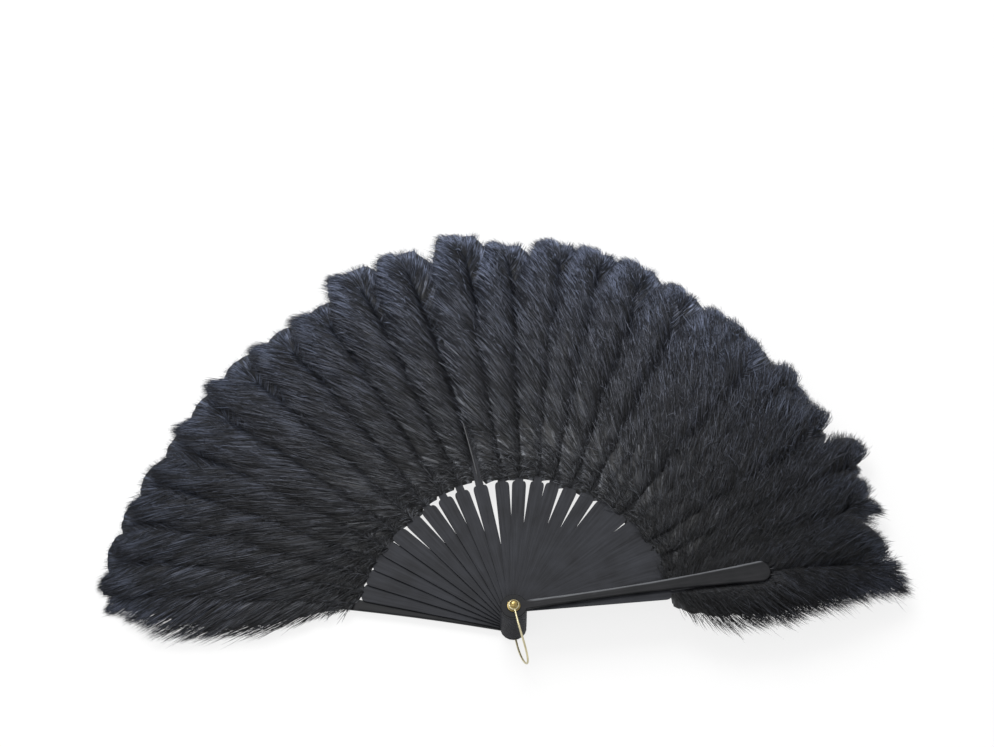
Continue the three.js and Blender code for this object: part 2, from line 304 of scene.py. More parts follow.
@dataclass(frozen=True)
class DyedBarb:
    """Black dyed barbs, bluer towards the plume's tip.

    The colour follows the barb's own map: u from the barb's root to its tip, and v from the plume's base to
    its tip. Each plume's tones are scaled by a painted light level, and the barbs carry painted shade near
    the quill and at their ends, for the shade in the grooves between plumes.
    """

    # painted light level: scales the plume's tones, brighter on the leaves in the middle of the fan, darker
    # at its sides
    depth: float = 1.0
    # painted shade: how strongly the barbs darken near the quill and at their ends, and where along the barb
    hollow: float = 1.0
    hollow_tones: Profile = Profile((0.1, 0.4, 0.6, 0.85, 1.0), (0.25, 0.45, 1.0, 1.0, 0.6))
    dark: Colour = (0.004, 0.0045, 0.006)
    middle: Colour = (0.026, 0.027, 0.030)
    # the palest tone, which few barbs reach, is partly random tone and partly a painted glint on single
    # strands
    pale: Colour = (0.200, 0.205, 0.220)
    tone_places: tuple[float, float, float] = (0.4, 0.51, 0.63)
    base_tint: Colour = (0.76, 0.78, 0.8)
    middle_tint: Colour = (0.9, 0.95, 1.12)
    tip_tint: Colour = (0.84, 0.98, 1.35)
    tint_places: tuple[float, float, float] = (0.1, 0.5, 0.9)
    roughness: tuple[float, float] = (0.45, 0.7)
    specular: float = 0.4
    streaks: tuple[float, float, float] = (2.2, 75.0, 1.0)
    streak_bump: tuple[float, float] = (0.5, 0.0005)
    map_name: str = "OFBake"

    def material(self) -> bpy.types.Material:
        """Makes the finish.

        Returns:
            The material.
        """
        recipe = Recipe(f"black_plume_{round(100 * self.depth)}_{round(100 * self.hollow)}")
        place = recipe.add("UVMap", {"uv_map": self.map_name})
        stretch = recipe.add("Mapping")
        stretch.inputs["Scale"].default_value = self.streaks
        recipe.link(place.outputs[0], stretch.inputs["Vector"])
        noise = recipe.add("TexNoise", Scale=1.0, Detail=3.0)
        recipe.link(stretch.outputs[0], noise.inputs["Vector"])
        plain_tones = (self.dark, self.middle, self.pale)
        # the tones scaled by the painted light level
        tones = [tuple(self.depth * value for value in tone) for tone in plain_tones]
        colour = recipe.ramp(noise.outputs[0], list(zip(self.tone_places, tones)))
        parts = recipe.add("SeparateXYZ")
        recipe.link(place.outputs[0], parts.inputs[0])
        tints = (self.base_tint, self.middle_tint, self.tip_tint)
        tint = recipe.ramp(parts.outputs["Y"], list(zip(self.tint_places, tints)))
        # painted shade along each barb, darker near the quill and at the end
        shade = recipe.ramp(parts.outputs["X"], self.shades())
        for layer in (tint, shade):
            product = recipe.add("VectorMath", {"operation": "MULTIPLY"})
            recipe.link(colour, product.inputs[0])
            recipe.link(layer, product.inputs[1])
            colour = product.outputs[0]
        recipe.link(colour, recipe.shader.inputs["Base Color"])
        recipe.link(recipe.range(noise.outputs[0], *self.roughness), recipe.shader.inputs["Roughness"])
        recipe.bump(noise.outputs[0], *self.streak_bump)
        recipe.shader.inputs["Specular IOR Level"].default_value = self.specular
        return recipe.material

    def shades(self) -> list[tuple[float, Colour]]:
        """Places along a barb and how dark its painted shade makes it there, scaled by the plume's painted
        shade strength.

        Returns:
            Places and greys, for a ramp.
        """
        greys = [1.0 - self.hollow * (1.0 - tone) for tone in self.hollow_tones.values]
        return [(place, (grey, grey, grey)) for place, grey in zip(self.hollow_tones.places, greys)]


@dataclass(frozen=True)
class DyedQuill:
    """The quill's smooth dyed horn, a little glossier than the barbs."""

    dark: Colour = (0.010, 0.011, 0.014)
    pale: Colour = (0.035, 0.037, 0.043)
    tone_places: tuple[float, float] = (0.3, 0.75)
    roughness: tuple[float, float] = (0.3, 0.5)
    mottling: float = 240.0

    def material(self) -> bpy.types.Material:
        """Makes the finish, with faint mottling.

        Returns:
            The material.
        """
        recipe = Recipe("black_quill")
        place = recipe.add("TexCoord")
        noise = recipe.add("TexNoise", Scale=self.mottling, Detail=4.0)
        recipe.link(place.outputs["Object"], noise.inputs["Vector"])
        colour = recipe.ramp(noise.outputs[0], list(zip(self.tone_places, (self.dark, self.pale))))
        recipe.link(colour, recipe.shader.inputs["Base Color"])
        recipe.link(recipe.range(noise.outputs[0], *self.roughness), recipe.shader.inputs["Roughness"])
        return recipe.material


@dataclass(frozen=True)
class WornBrass:
    """Brass with a handled surface: darker in patches, with fine scuffs."""

    name: str
    bright: Colour
    dull: Colour
    roughness: tuple[float, float] = (0.18, 0.42)
    patches: float = 420.0
    scuff: float = 0.15
    scuff_depth: float = 0.0001
    tone_places: tuple[float, float] = (0.36, 0.6)

    def material(self) -> bpy.types.Material:
        """Makes the finish.

        Returns:
            The material.
        """
        recipe = Recipe(self.name)
        place = recipe.add("TexCoord")
        patch = recipe.add("TexNoise", Scale=self.patches, Detail=5.0, Roughness=0.6)
        recipe.link(place.outputs["Object"], patch.inputs["Vector"])
        colour = recipe.ramp(patch.outputs[0], list(zip(self.tone_places, (self.dull, self.bright))))
        recipe.link(colour, recipe.shader.inputs["Base Color"])
        recipe.link(recipe.range(patch.outputs[0], *self.roughness), recipe.shader.inputs["Roughness"])
        recipe.shader.inputs["Metallic"].default_value = 1.0
        recipe.bump(patch.outputs[0], self.scuff, self.scuff_depth)
        return recipe.material


def make_object(name: str, points: np.ndarray, faces: list[np.ndarray], material: bpy.types.Material,
                smooth: bool = True) -> bpy.types.Object:
    """Makes a mesh object in the fan's frame.

    Args:
        name: the object's name.
        points: corners in millimetres, one row each.
        faces: arrays of faces, each array with its own number of corners to a face.
        material: the finish.
        smooth: whether the faces are shaded smooth.

    Returns:
        The object, linked to the scene.
    """
    mesh = bpy.data.meshes.new(name)
    mesh.vertices.add(len(points))
    mesh.vertices.foreach_set("co", (points * MM).astype(np.float32).ravel())
    corners = np.concatenate([group.ravel() for group in faces])
    sizes = np.concatenate([np.full(len(group), group.shape[1]) for group in faces])
    starts = np.concatenate([[0], np.cumsum(sizes)[:-1]])
    mesh.loops.add(len(corners))
    mesh.loops.foreach_set("vertex_index", corners.astype(np.int32))
    mesh.polygons.add(len(sizes))
    mesh.polygons.foreach_set("loop_start", starts.astype(np.int32))
    mesh.polygons.foreach_set("use_smooth", np.full(len(sizes), smooth))
    mesh.update(calc_edges=True)
    mesh.materials.append(material)
    piece = bpy.data.objects.new(name, mesh)
    bpy.context.scene.collection.objects.link(piece)
    return piece


def turned_faces(rings: int, steps: int) -> np.ndarray:
    """Faces of a closed band of rings.

    Args:
        rings: rings, joined first to last as well.
        steps: points to a ring.

    Returns:
        Four corners a face.
    """
    ring, step = np.meshgrid(np.arange(rings), np.arange(steps), indexing="ij")
    row, next_row = ring * steps, (ring + 1) % rings * steps
    beside = (step + 1) % steps
    return np.stack([row + step, row + beside, next_row + beside, next_row + step], -1).reshape(-1, 4)


@dataclass
class FanLayout:
    """Where each leaf lies: the order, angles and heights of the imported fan."""

    steps: tuple[float, ...] = (5.2, 6.4, 6.4, 6.6, 7.0, 7.6, 7.6, 7.3, 6.9, 7.4, 8.4, 6.6, 7.0,
                                5.9, 7.1, 7.3, 7.2, 4.1, 4.0, 7.3, 4.3, 4.3, 7.4, 7.1, 7.4, -1.8)
    first_stick_level: float = 7.4
    leaf_pitch: float = 1.4
    back_plume_level: float = 6.9
    front_plume_level: float = 42.6
    plume_rise: float = 0.9
    back_reach: float = 338.0
    front_reach: float = 312.0
    crown: float = 52.0
    farthest: float = 399.5
    easing: float = 14.0
    lowest: float = 1.7
    shown_rib: int = 10
    rib_level: float = 19.9
    extra_reach: tuple[float, ...] = (0, 3, 3, 1, 4, 1, 5, 3, -2, 15, 17, 14, 11, 14, 14, 13, 7,
                                      5, 4, 6, 8, 8, 13, 25, 9, 3, -9)
    roots: Profile = Profile((0.0, 0.08, 0.2, 0.3, 0.39, 0.46, 0.6, 1.0),
                             (130.0, 126.0, 127.0, 129.0, 135.0, 131.0, 128.0, 127.0))
    root_spread: float = 3.0
    lifts: Profile = Profile((0.3, 0.36, 0.42, 0.46, 0.5, 0.56, 0.62), (0.0, 8.0, 17.0, 8.0, 7.0, 6.0, 0.0))
    # painted light level of each leaf's barbs across the fan: brightest in the middle, darker towards both
    # sides
    dye_depths: Profile = Profile((0.0, 0.15, 0.3, 0.42, 0.58, 0.8, 1.0),
                                  (0.6, 0.6, 1.15, 1.9, 1.75, 0.9, 0.3))
    # strength of the painted shade on each leaf's barbs, across the fan
    hollows: Profile = Profile((0.2, 0.4, 0.7, 1.0), (0.1, 1.0, 0.8, 0.5))

    @property
    def leaves(self) -> int:
        """How many leaves there are, guards and all."""
        return len(self.steps) + 1

    def share(self, leaf: int) -> float:
        """Place of a leaf in the fan, from 0 at the back guard to 1 at the front one."""
        return leaf / (self.leaves - 1)

    def angle(self, leaf: int) -> float:
        """Direction of a leaf in degrees, anticlockwise from +X."""
        return 90.0 + sum(self.steps) / 2 - sum(self.steps[:leaf])

    def plume_level(self, leaf: int) -> float:
        """Height of the middle of a leaf's plume.

        Args:
            leaf: the leaf, from 0 at the back guard.

        Returns:
            The height over the rivet's back.
        """
        if leaf == 0:
            return self.back_plume_level
        if leaf == self.leaves - 1:
            return self.front_plume_level
        return self.first_stick_level + (leaf - 1) * self.leaf_pitch + self.plume_rise

    def plume_reach(self, leaf: int) -> float:
        """Distance from the rivet's axis to the tips of a leaf's barbs.

        Args:
            leaf: the leaf, from 0 at the back guard.

        Returns:
            The reach of its CAD plume, and what its barbs reach past that.
        """
        share = self.share(leaf)
        ends = self.back_reach + (self.front_reach - self.back_reach) * share
        return ends + self.crown * math.sin(math.pi * share) ** 2 + self.extra_reach[leaf]

    def root(self, leaf: int) -> float:
        """Distance from the rivet's axis to the first barbs, a little uneven from leaf to leaf.

        Args:
            leaf: the leaf, from 0 at the back guard.

        Returns:
            The distance.
        """
        uneven = np.random.default_rng(SEED + leaf).uniform(-self.root_spread, self.root_spread)
        return float(self.roots.at(self.share(leaf))) + uneven

    def tip_lift(self, leaf: int) -> float:
        """How far the end of a leaf's plume is lifted by the plumes under it."""
        return float(self.lifts.at(self.share(leaf)))

    def dye(self, leaf: int) -> DyedBarb:
        """Finish of a leaf's barbs: its painted light level, and how strongly painted shade darkens them near
        the quill and at their ends.

        Args:
            leaf: the leaf, from 0 at the back guard.

        Returns:
            The finish, in steps of a tenth so that leaves share materials.
        """
        share = self.share(leaf)
        return DyedBarb(round(float(self.dye_depths.at(share)), 1), round(float(self.hollows.at(share)), 1))

    def body(self, leaf: int) -> str:
        """Name of the CAD body that carries a leaf.

        Args:
            leaf: the leaf, from 0 at the back guard.

        Returns:
            The body's name.
        """
        if leaf == 0:
            return "base"
        return "front_leaf" if leaf == self.leaves - 1 else f"leaf_{leaf:02d}"

    def label(self, leaf: int) -> str:
        """The ending of the names of a leaf's pieces.

        Args:
            leaf: the leaf, from 0 at the back guard.

        Returns:
            The ending.
        """
        if leaf == 0:
            return "back"
        return "front" if leaf == self.leaves - 1 else f"{leaf:02d}"


@dataclass
class VaneForm:
    """The smooth shape of a vane at some places along a plume, before any barb strays from it."""

    along: np.ndarray
    lean: np.ndarray
    length: np.ndarray
    bend: np.ndarray
    rise: np.ndarray
    droop: np.ndarray


@dataclass(frozen=True)
class BarbNoise:
    """How far fine barbs stray from their vane's smooth shape: degrees, millimetres or shares of a length.

    Each of the three sets of waves is a number of waves and the turns of the fastest of them over a quill.
    """

    lean_waves: tuple[int, float] = (4, 5.0)
    lean_wave: float = 2.0
    lean_lock: float = 1.3
    lean_least: float = 1.2
    lean_frizz: float = 4.0
    length_waves: tuple[int, float] = (4, 6.0)
    length_wave: float = 0.03
    length_lock: float = 0.02
    length_least: float = 0.01
    length_frizz: float = 0.02
    free_length: float = 0.05
    bend: float = 9.0
    rise_waves: tuple[int, float] = (3, 4.0)
    rise_wave: float = 0.8
    rise_lock: float = 0.5
    rise_stray: float = 0.3
    stray_chance: float = 0.008
    stray_angle: float = 10.0


@dataclass(frozen=True)
class FluffShape:
    """Short curly barbs that stand up from a vane. Pairs are the limits of a random draw."""

    places: tuple[float, float] = (0.03, 0.97)
    roots: tuple[float, float] = (0.05, 0.68)
    turn: float = 0.13
    turn_frizz: float = 0.22
    curl_frizz: float = 0.7
    length: tuple[float, float] = (0.12, 0.28)
    rise: tuple[float, float] = (0.5, 2.6)
    arc: float = 0.8


@dataclass(frozen=True)
class DownShape:
    """Short soft barbs round a plume's base. Pairs are the limits of a random draw."""

    span: float = 0.22
    crowding: float = 1.3
    left_chance: float = 0.6
    least_lean: float = 15.0
    most_lean: float = 70.0
    lean_growth: float = 50.0
    length: tuple[float, float] = (9.0, 26.0)
    bend: float = 0.6
    left_rise: tuple[float, float] = (0.5, 4.5)
    right_rise: float = 0.3
    droop: tuple[float, float] = (0.0, 2.5)
    wildness: float = 1.2


@dataclass
class Plume:
    """One ostrich plume: a tapering quill, two vanes of loose barbs, a round tip, and down at the base.

    Places along a vane run from 0 at the base to 1 at the quill's end, and on to TIP_END at the middle of the
    round tip, where the barbs fan out from the quill's end. Shares run from 0 on the back guard to 1 on the
    front one.
    """

    layout: FanLayout
    leaf: int
    overhang: float = 33.0
    overhang_spread: float = 4.0
    fullness_range: tuple[float, float] = (0.94, 1.06)
    comb_by_share: Profile = Profile((0.0, 0.05, 0.22, 0.4), (0.0, 1.0, 1.0, 0.0))
    roll_by_share: Profile = Profile((0.2, 0.42, 0.7, 0.9), (0.0, 1.0, 1.0, 0.6))
    least_frizz: float = 0.15
    frizz_growth: float = 1.2

    sweep: float = 14.0
    sweep_spread: float = 3.0
    last_sweeps: tuple[float, float] = (9.0, 3.0)
    hook: float = 10.0
    hook_start: float = 0.72
    hook_by_share: Profile = Profile((0.3, 0.8), (0.0, 1.0))
    sag: float = 0.35
    sag_places: tuple[float, float] = (205.0, 325.0)
    nod: float = 3.0
    nod_growth: float = 3.0
    nod_start: float = 0.7
    arch: float = 2.5
    quill_radius: float = 1.0
    quill_taper: float = 0.8
    quill_flatness: float = 0.7
    quill_drop: float = 0.9
    quill_steps: int = 40
    quill_sides: int = 8

    shown_barbs: int = 1050
    free_barbs: int = 1500
    hidden_barbs: int = 300
    down_barbs: int = 190
    fluff_by_share: Profile = Profile((0.2, 0.75), (60.0, 360.0))
    hidden_fluff: int = 4
    tip_crowding: float = 0.7
    noise: BarbNoise = BarbNoise()
    fluff_shape: FluffShape = FluffShape()
    down_shape: DownShape = DownShape()

    vane_lean: float = 31.0
    vane_lean_growth: float = 9.0
    base_lean: float = 70.0
    base_lean_growth: float = 40.0
    base_turn: Profile = Profile((0.0, 0.05, 0.14), (1.0, 0.5, 0.0))
    lean_shift: Profile = Profile((0.05, 0.14, 0.3, 0.65, 0.85, 1.0), (0.0, 5.0, 2.0, 0.0, -2.0, -5.0))
    comb_lean: Profile = Profile((0.65, 0.85, 1.0), (0.0, 9.0, 18.0))
    tip_comb: float = 30.0
    vane_length: Profile = Profile((0.0, 0.04, 0.1, 0.2, 0.45, 0.67, 0.84, 1.0, TIP_END),
                                   (13.0, 26.0, 50.0, 72.0, 80.0, 76.0, 62.0, 42.0, 35.0))
    comb_length: Profile = Profile((0.6, 0.85, 1.0, TIP_END), (0.0, 0.1, 0.16, 0.0))
    tuck: Profile = Profile((0.5, 0.8, 1.0, TIP_END), (0.0, 0.5, 1.0, 0.3))
    tuck_by_share: Profile = Profile((0.3, 0.55, 0.8), (0.05, 0.3, 0.4))
    right_length_by_share: Profile = Profile((0.75, 0.85), (1.0, 0.65))

    back_lean: Profile = Profile((0.0, 0.2, 0.7, 1.0), (44.0, 43.0, 42.0, 36.0))
    back_length: Profile = Profile((0.0, 0.06, 0.11, 0.18, 0.42, 0.6, 0.75, 1.0, TIP_END),
                                   (11.0, 24.0, 45.0, 72.0, 77.0, 72.0, 56.0, 34.0, 30.0))
    front_lean: Profile = Profile((0.0, 0.2, 0.7, 1.0), (62.0, 46.0, 42.0, 36.0))
    front_length: Profile = Profile((0.0, 0.06, 0.11, 0.18, 0.42, 0.6, 0.75, 1.0, TIP_END),
                                    (22.0, 44.0, 55.0, 61.0, 59.0, 55.0, 54.0, 52.0, 38.0))
    first_bare_length: Profile = Profile((0.5, 0.9, TIP_END), (1.0, 0.65, 0.8))

    rise_along: Profile = Profile((0.0, 0.12, 0.3, 0.8, 1.0, TIP_END), (0.1, 0.5, 1.0, 1.0, 0.6, 0.4))
    left_rise: float = 3.0
    left_rise_growth: float = 7.0
    right_rise: float = 2.0
    left_droop: float = 1.5
    left_droop_growth: float = 4.5
    right_droop: float = 3.0
    right_droop_growth: float = 14.0
    right_droop_power: int = 6
    tip_droop: float = 4.0
    tip_droop_places: tuple[float, float] = (0.8, 1.1)
    bend_along: Profile = Profile((0.0, 0.2, 0.9, TIP_END), (0.0, -24.0, -20.0, 0.0))
    bend_pivot: float = 0.35
    curl_by_share: Profile = Profile((0.35, 0.65), (0.0, 65.0))
    rise_power: float = 0.85
    droop_power: float = 1.7
    wave_range: tuple[float, float] = (0.04, 0.18)
    wave_rates: tuple[float, float] = (1.0, 2.2)
    flutter: float = 0.9
    ripple: float = 0.4

    lock_sizes: tuple[int, int] = (3, 9)
    free_pull: float = 0.8
    covered_pull: float = 0.25

    half_width: float = 0.21
    thickness: float = 0.22
    roll_spread: float = 0.6
    size_range: tuple[float, float] = (0.7, 1.25)
    tip_taper: float = 0.6
    taper_power: float = 2.4
    root_width: float = 0.5
    root_growth: float = 2.0
    points: int = 8

    web_columns: int = 105
    web_depth: tuple[float, float] = (1.1, 1.5)
    web_overlap: float = 1.2
    web_start: float = 0.02
    web_cover: Profile = Profile((0.0, 0.7, 1.0), (0.95, 0.94, 0.92))
    web_tip_cover_by_share: Profile = Profile((0.4, 0.6), (0.91, 0.82))
    web_raggedness: float = 0.015
    free_web_cover: Profile = Profile((0.0, 0.12, 0.3), (0.4, 0.52, 0.68))
    free_web_raggedness: float = 0.06
    web_unevenness: float = 0.7
    web_map_end: float = 0.97
    web_map_rim: float = 0.02

    strip: float = 0.012
    tone_spread: float = 0.13
    tone_jitter: float = 0.004
    tone_lock_sizes: tuple[int, int] = (2, 5)

    guard_strip: Profile = Profile((0.0, 110.0, 203.0, 211.0), (6.5, 6.5, 10.5, 7.5))
    guard_underside: float = 41.2
    guard_slope: float = 0.8
    rib_strip: Profile = Profile((0.0, 128.0, 190.0), (3.8, 3.8, 2.2))
    rib_slope: float = 1.4

    def __post_init__(self) -> None:
        """Works out what follows from the leaf's place in the fan, and seeds the plume's own numbers."""
        self.rng = np.random.default_rng(SEED + 31 * self.leaf)
        self.share = self.layout.share(self.leaf)
        self.reach = self.layout.plume_reach(self.leaf)
        self.level = self.layout.plume_level(self.leaf)
        self.is_back = self.leaf == 0
        self.is_last = self.leaf >= self.layout.leaves - 2
        self.is_bare = self.leaf >= self.layout.leaves - 3
        self.free_vane = Vane.LEFT if self.is_back else Vane.RIGHT if self.is_bare else None
        self.hook *= float(self.hook_by_share.at(self.share))
        self.fullness = self.rng.uniform(*self.fullness_range)
        self.sweep += self.rng.uniform(-self.sweep_spread, self.sweep_spread)
        self.overhang += self.rng.uniform(-self.overhang_spread, self.overhang_spread)
        if self.is_last:
            self.sweep = self.last_sweeps[self.leaf - self.layout.leaves + 2]
            self.hook = 0.0
        self.comb = float(self.comb_by_share.at(self.share))
        self.roll = float(self.roll_by_share.at(self.share))
        self.frizz = self.least_frizz + self.frizz_growth * self.share

    def quill(self, along: np.ndarray) -> np.ndarray:
        """Centre line of the quill.

        Args:
            along: places from 0 at the base to 1 at the end.

        Returns:
            Points in the leaf's coordinates.
        """
        root = self.layout.root(self.leaf)
        x = root + (self.reach - self.overhang - root) * along
        y = self.sweep * along ** 2 + self.hook * progress(along, self.hook_start, 1.0) ** 2
        sag = self.sag * self.level * self.share * progress(x, *self.sag_places) ** 2
        nod = self.nod + self.nod_growth * self.roll - self.layout.tip_lift(self.leaf)
        nod = nod * progress(along, self.nod_start, 1.0) ** 2
        z = self.level + self.arch * np.sin(np.pi * along) - sag - nod
        return np.stack([x, y, z], -1)

    def heading(self, along: np.ndarray) -> np.ndarray:
        """Direction of the quill in its plane.

        Args:
            along: places from 0 at the base to 1 at the end.

        Returns:
            Angles in radians, in the leaf's coordinates.
        """
        step = 0.01
        ahead = self.quill(along + step) - self.quill(along - step)
        return np.arctan2(ahead[:, 1], ahead[:, 0])

    def waves(self, along: np.ndarray, count: int, rate: float) -> np.ndarray:
        """Smooth noise along the quill.

        Args:
            along: places from 0 to 1.
            count: waves that are summed.
            rate: turns of the fastest wave over the quill.

        Returns:
            Values of about -1 to 1.
        """
        slowest = 0.3
        rates = self.rng.uniform(slowest, 1.0, count) * rate
        phases = self.rng.uniform(0.0, 2.0 * np.pi, count)
        return np.sin(2.0 * np.pi * along[:, None] * rates + phases).sum(1) / math.sqrt(count)

    def locks(self, count: int, least: int, most: int) -> np.ndarray:
        """Groups neighbouring barbs into locks.

        Args:
            count: barbs in all.
            least: barbs in the smallest lock.
            most: barbs in the largest lock.

        Returns:
            The lock's number for each barb.
        """
        sizes = self.rng.integers(least, most + 1, count)
        return np.repeat(np.arange(count), sizes)[:count]

    def form(self, place: np.ndarray, side: Vane) -> VaneForm:
        """The vane's smooth shape.

        Args:
            place: places along the vane.
            side: which vane.

        Returns:
            The shape at those places.
        """
        past = progress(place, 1.0, TIP_END)
        lean, length = self.free_shape(place) if side is self.free_vane else self.covered_shape(place, side)
        rise = self.rise_along.at(place)
        if side is Vane.LEFT:
            rise = rise * (self.left_rise + self.left_rise_growth * self.roll)
            droop = self.left_droop + self.left_droop_growth * self.roll
        else:
            rise = rise * self.right_rise
            droop = self.right_droop + self.right_droop_growth * self.share ** self.right_droop_power
        droop = droop + self.tip_droop * progress(place, *self.tip_droop_places)
        curl = self.curl_by_share.at(self.share) * past * side.value
        bend = np.radians(self.bend_along.at(place) + curl)
        turned = np.radians(lean * (1.0 - past)) * side.value + np.radians(self.tip_comb * self.comb * past)
        return VaneForm(np.minimum(place, 1.0), turned, length, bend * side.value, rise, droop)

    def covered_shape(self, place: np.ndarray, side: Vane) -> tuple[np.ndarray, np.ndarray]:
        """Lean and length of a vane that lies among others.

        Args:
            place: places along the vane.
            side: which vane.

        Returns:
            Degrees away from the quill, and lengths.
        """
        middle = self.vane_lean + self.vane_lean_growth * self.share
        base = self.base_lean + self.base_lean_growth * self.share
        lean = (middle + (base - middle) * self.base_turn.at(place) + self.lean_shift.at(place)
                + self.comb * self.comb_lean.at(place))
        length = self.vane_length.at(place) * self.fullness
        if side is Vane.LEFT:
            return lean, length * (1.0 + self.comb * self.comb_length.at(place))
        tucked = 1.0 - self.tuck_by_share.at(self.share) * self.tuck.at(place)
        return lean, length * tucked * self.right_length_by_share.at(self.share)

    def free_shape(self, place: np.ndarray) -> tuple[np.ndarray, np.ndarray]:
        """Lean and length of the vane at the open side of the first or the last plumes.

        Args:
            place: places along the vane.

        Returns:
            Degrees away from the quill, and lengths.
        """
        if self.is_back:
            return self.back_lean.at(place), self.back_length.at(place)
        length = self.front_length.at(place)
        if not self.is_last:
            length = length * self.first_bare_length.at(place)
        return self.front_lean.at(place), length

    def lines(self, form: VaneForm, u: np.ndarray, wild: float) -> np.ndarray:
        """Centre lines of barbs that leave the quill.

        Args:
            form: shape of the vane where each barb is.
            u: places along a barb, from 0 at its root to 1 at its tip.
            wild: how much each barb waves by itself.

        Returns:
            An array of barbs, points and coordinates.
        """
        count = len(form.along)
        turn = (self.heading(form.along) + form.lean)[:, None] + form.bend[:, None] * (u - self.bend_pivot)
        wave = wild * self.frizz * self.rng.uniform(*self.wave_range, count)[:, None]
        rate = self.rng.uniform(*self.wave_rates, count)[:, None]
        phase = self.rng.uniform(0.0, 2.0 * np.pi, count)[:, None]
        turn = turn + wave * np.sin(2.0 * np.pi * rate * u + phase)
        step = form.length[:, None] * np.diff(u, prepend=0.0)
        x = np.cumsum(np.cos(turn) * step, 1)
        y = np.cumsum(np.sin(turn) * step, 1)
        rise = form.rise[:, None] * np.sin(np.pi * u ** self.rise_power)
        z = rise - form.droop[:, None] * u ** self.droop_power
        flutter = self.frizz * self.rng.normal(0.0, self.flutter, count)[:, None]
        z = z + wild * (flutter * u + self.ripple * np.sin(2.0 * np.pi * rate * u + 2.0 * phase) * u)
        return self.quill(form.along)[:, None, :] + np.stack([x, y, z], -1)

    def gathered(self, lines: np.ndarray, lock: np.ndarray, pull: float) -> np.ndarray:
        """Draws the tips of each lock together.

        Args:
            lines: centre lines.
            lock: the lock of each barb.
            pull: most of the way that a tip moves to the middle of its lock.

        Returns:
            The moved centre lines.
        """
        total = lock.max() + 1
        weight = np.maximum(np.bincount(lock, minlength=total), 1)
        tips = lines[:, -1, :]
        middle = np.stack([np.bincount(lock, axis, total) / weight for axis in tips.T], -1)
        share = self.rng.uniform(0.0, 1.0, total)[lock] * pull
        u = np.linspace(0.0, 1.0, self.points)
        return lines + ((middle[lock] - tips) * share[:, None])[:, None, :] * (u ** 2)[None, :, None]

    def vane(self, side: Vane) -> np.ndarray:
        """Centre lines of the fine barbs of a vane.

        Args:
            side: which vane.

        Returns:
            Lines in the leaf's coordinates.
        """
        free = side is self.free_vane
        count = self.free_barbs if free else self.shown_barbs if side is Vane.LEFT else self.hidden_barbs
        place = TIP_END * np.sort(self.rng.uniform(0.0, 1.0, count)) ** self.tip_crowding
        form = self.form(place, side)
        lock = self.locks(count, *self.lock_sizes)
        lock_noise = self.rng.normal(0.0, 1.0, (3, count))[:, lock]
        noise = self.noise
        is_stray = self.rng.uniform(0.0, 1.0, count) < noise.stray_chance
        stray = np.where(is_stray, self.rng.normal(0.0, noise.stray_angle, count), 0.0)
        lean_spread = noise.lean_least + noise.lean_frizz * self.frizz
        lean = (noise.lean_wave * self.waves(place, *noise.lean_waves) + noise.lean_lock * lock_noise[0]
                + lean_spread * self.rng.normal(0.0, 1.0, count) + stray)
        form.lean = form.lean + np.radians(lean)
        length_spread = noise.free_length if free else noise.length_least + noise.length_frizz * self.frizz
        form.length = form.length * (1.0 + noise.length_wave * self.waves(place, *noise.length_waves)
                                     + noise.length_lock * lock_noise[1]
                                     + self.rng.normal(0.0, length_spread, count))
        form.bend = form.bend + np.radians(self.rng.normal(0.0, noise.bend, count))
        form.rise = (form.rise + noise.rise_wave * self.waves(place, *noise.rise_waves)
                     + noise.rise_lock * lock_noise[2] + noise.rise_stray * np.abs(stray))
        lines = self.lines(form, np.linspace(0.0, 1.0, self.points), 1.0)
        return self.gathered(lines, lock, self.free_pull if free else self.covered_pull)

    def fluff(self, side: Vane) -> np.ndarray:
        """Centre lines of short curly barbs that stand up from a vane, more of them towards the front guard.

        Args:
            side: which vane.

        Returns:
            Lines in the leaf's coordinates.
        """
        count = int(self.fluff_by_share.at(self.share))
        if side is Vane.RIGHT and side is not self.free_vane:
            count //= self.hidden_fluff
        shape = self.fluff_shape
        form = self.form(TIP_END * self.rng.uniform(*shape.places, count), side)
        carriers = self.lines(form, np.linspace(0.0, 1.0, self.points), 0.0)
        barb = np.arange(count)
        place = self.rng.uniform(*shape.roots, count) * (self.points - 1)
        before = place.astype(int)
        ahead = carriers[barb, before + 1] - carriers[barb, before]
        root = carriers[barb, before] + ahead * (place - before)[:, None]
        u = np.linspace(0.0, 1.0, self.points)
        turn_spread = shape.turn + shape.turn_frizz * self.frizz
        heading = np.arctan2(ahead[:, 1], ahead[:, 0]) + self.rng.normal(0.0, turn_spread, count)
        turn = heading[:, None] + self.rng.normal(0.0, shape.curl_frizz * self.frizz, count)[:, None] * u
        length = (form.length * self.rng.uniform(*shape.length, count))[:, None]
        step = length * np.diff(u, prepend=0.0)
        slope = (ahead[:, 2] / np.linalg.norm(ahead[:, :2], axis=1))[:, None]
        rise = self.rng.uniform(*shape.rise, count)[:, None]
        x = np.cumsum(np.cos(turn) * step, 1)
        y = np.cumsum(np.sin(turn) * step, 1)
        z = slope * length * u + rise * np.sin(shape.arc * np.pi * u)
        return root[:, None, :] + np.stack([x, y, z], -1)

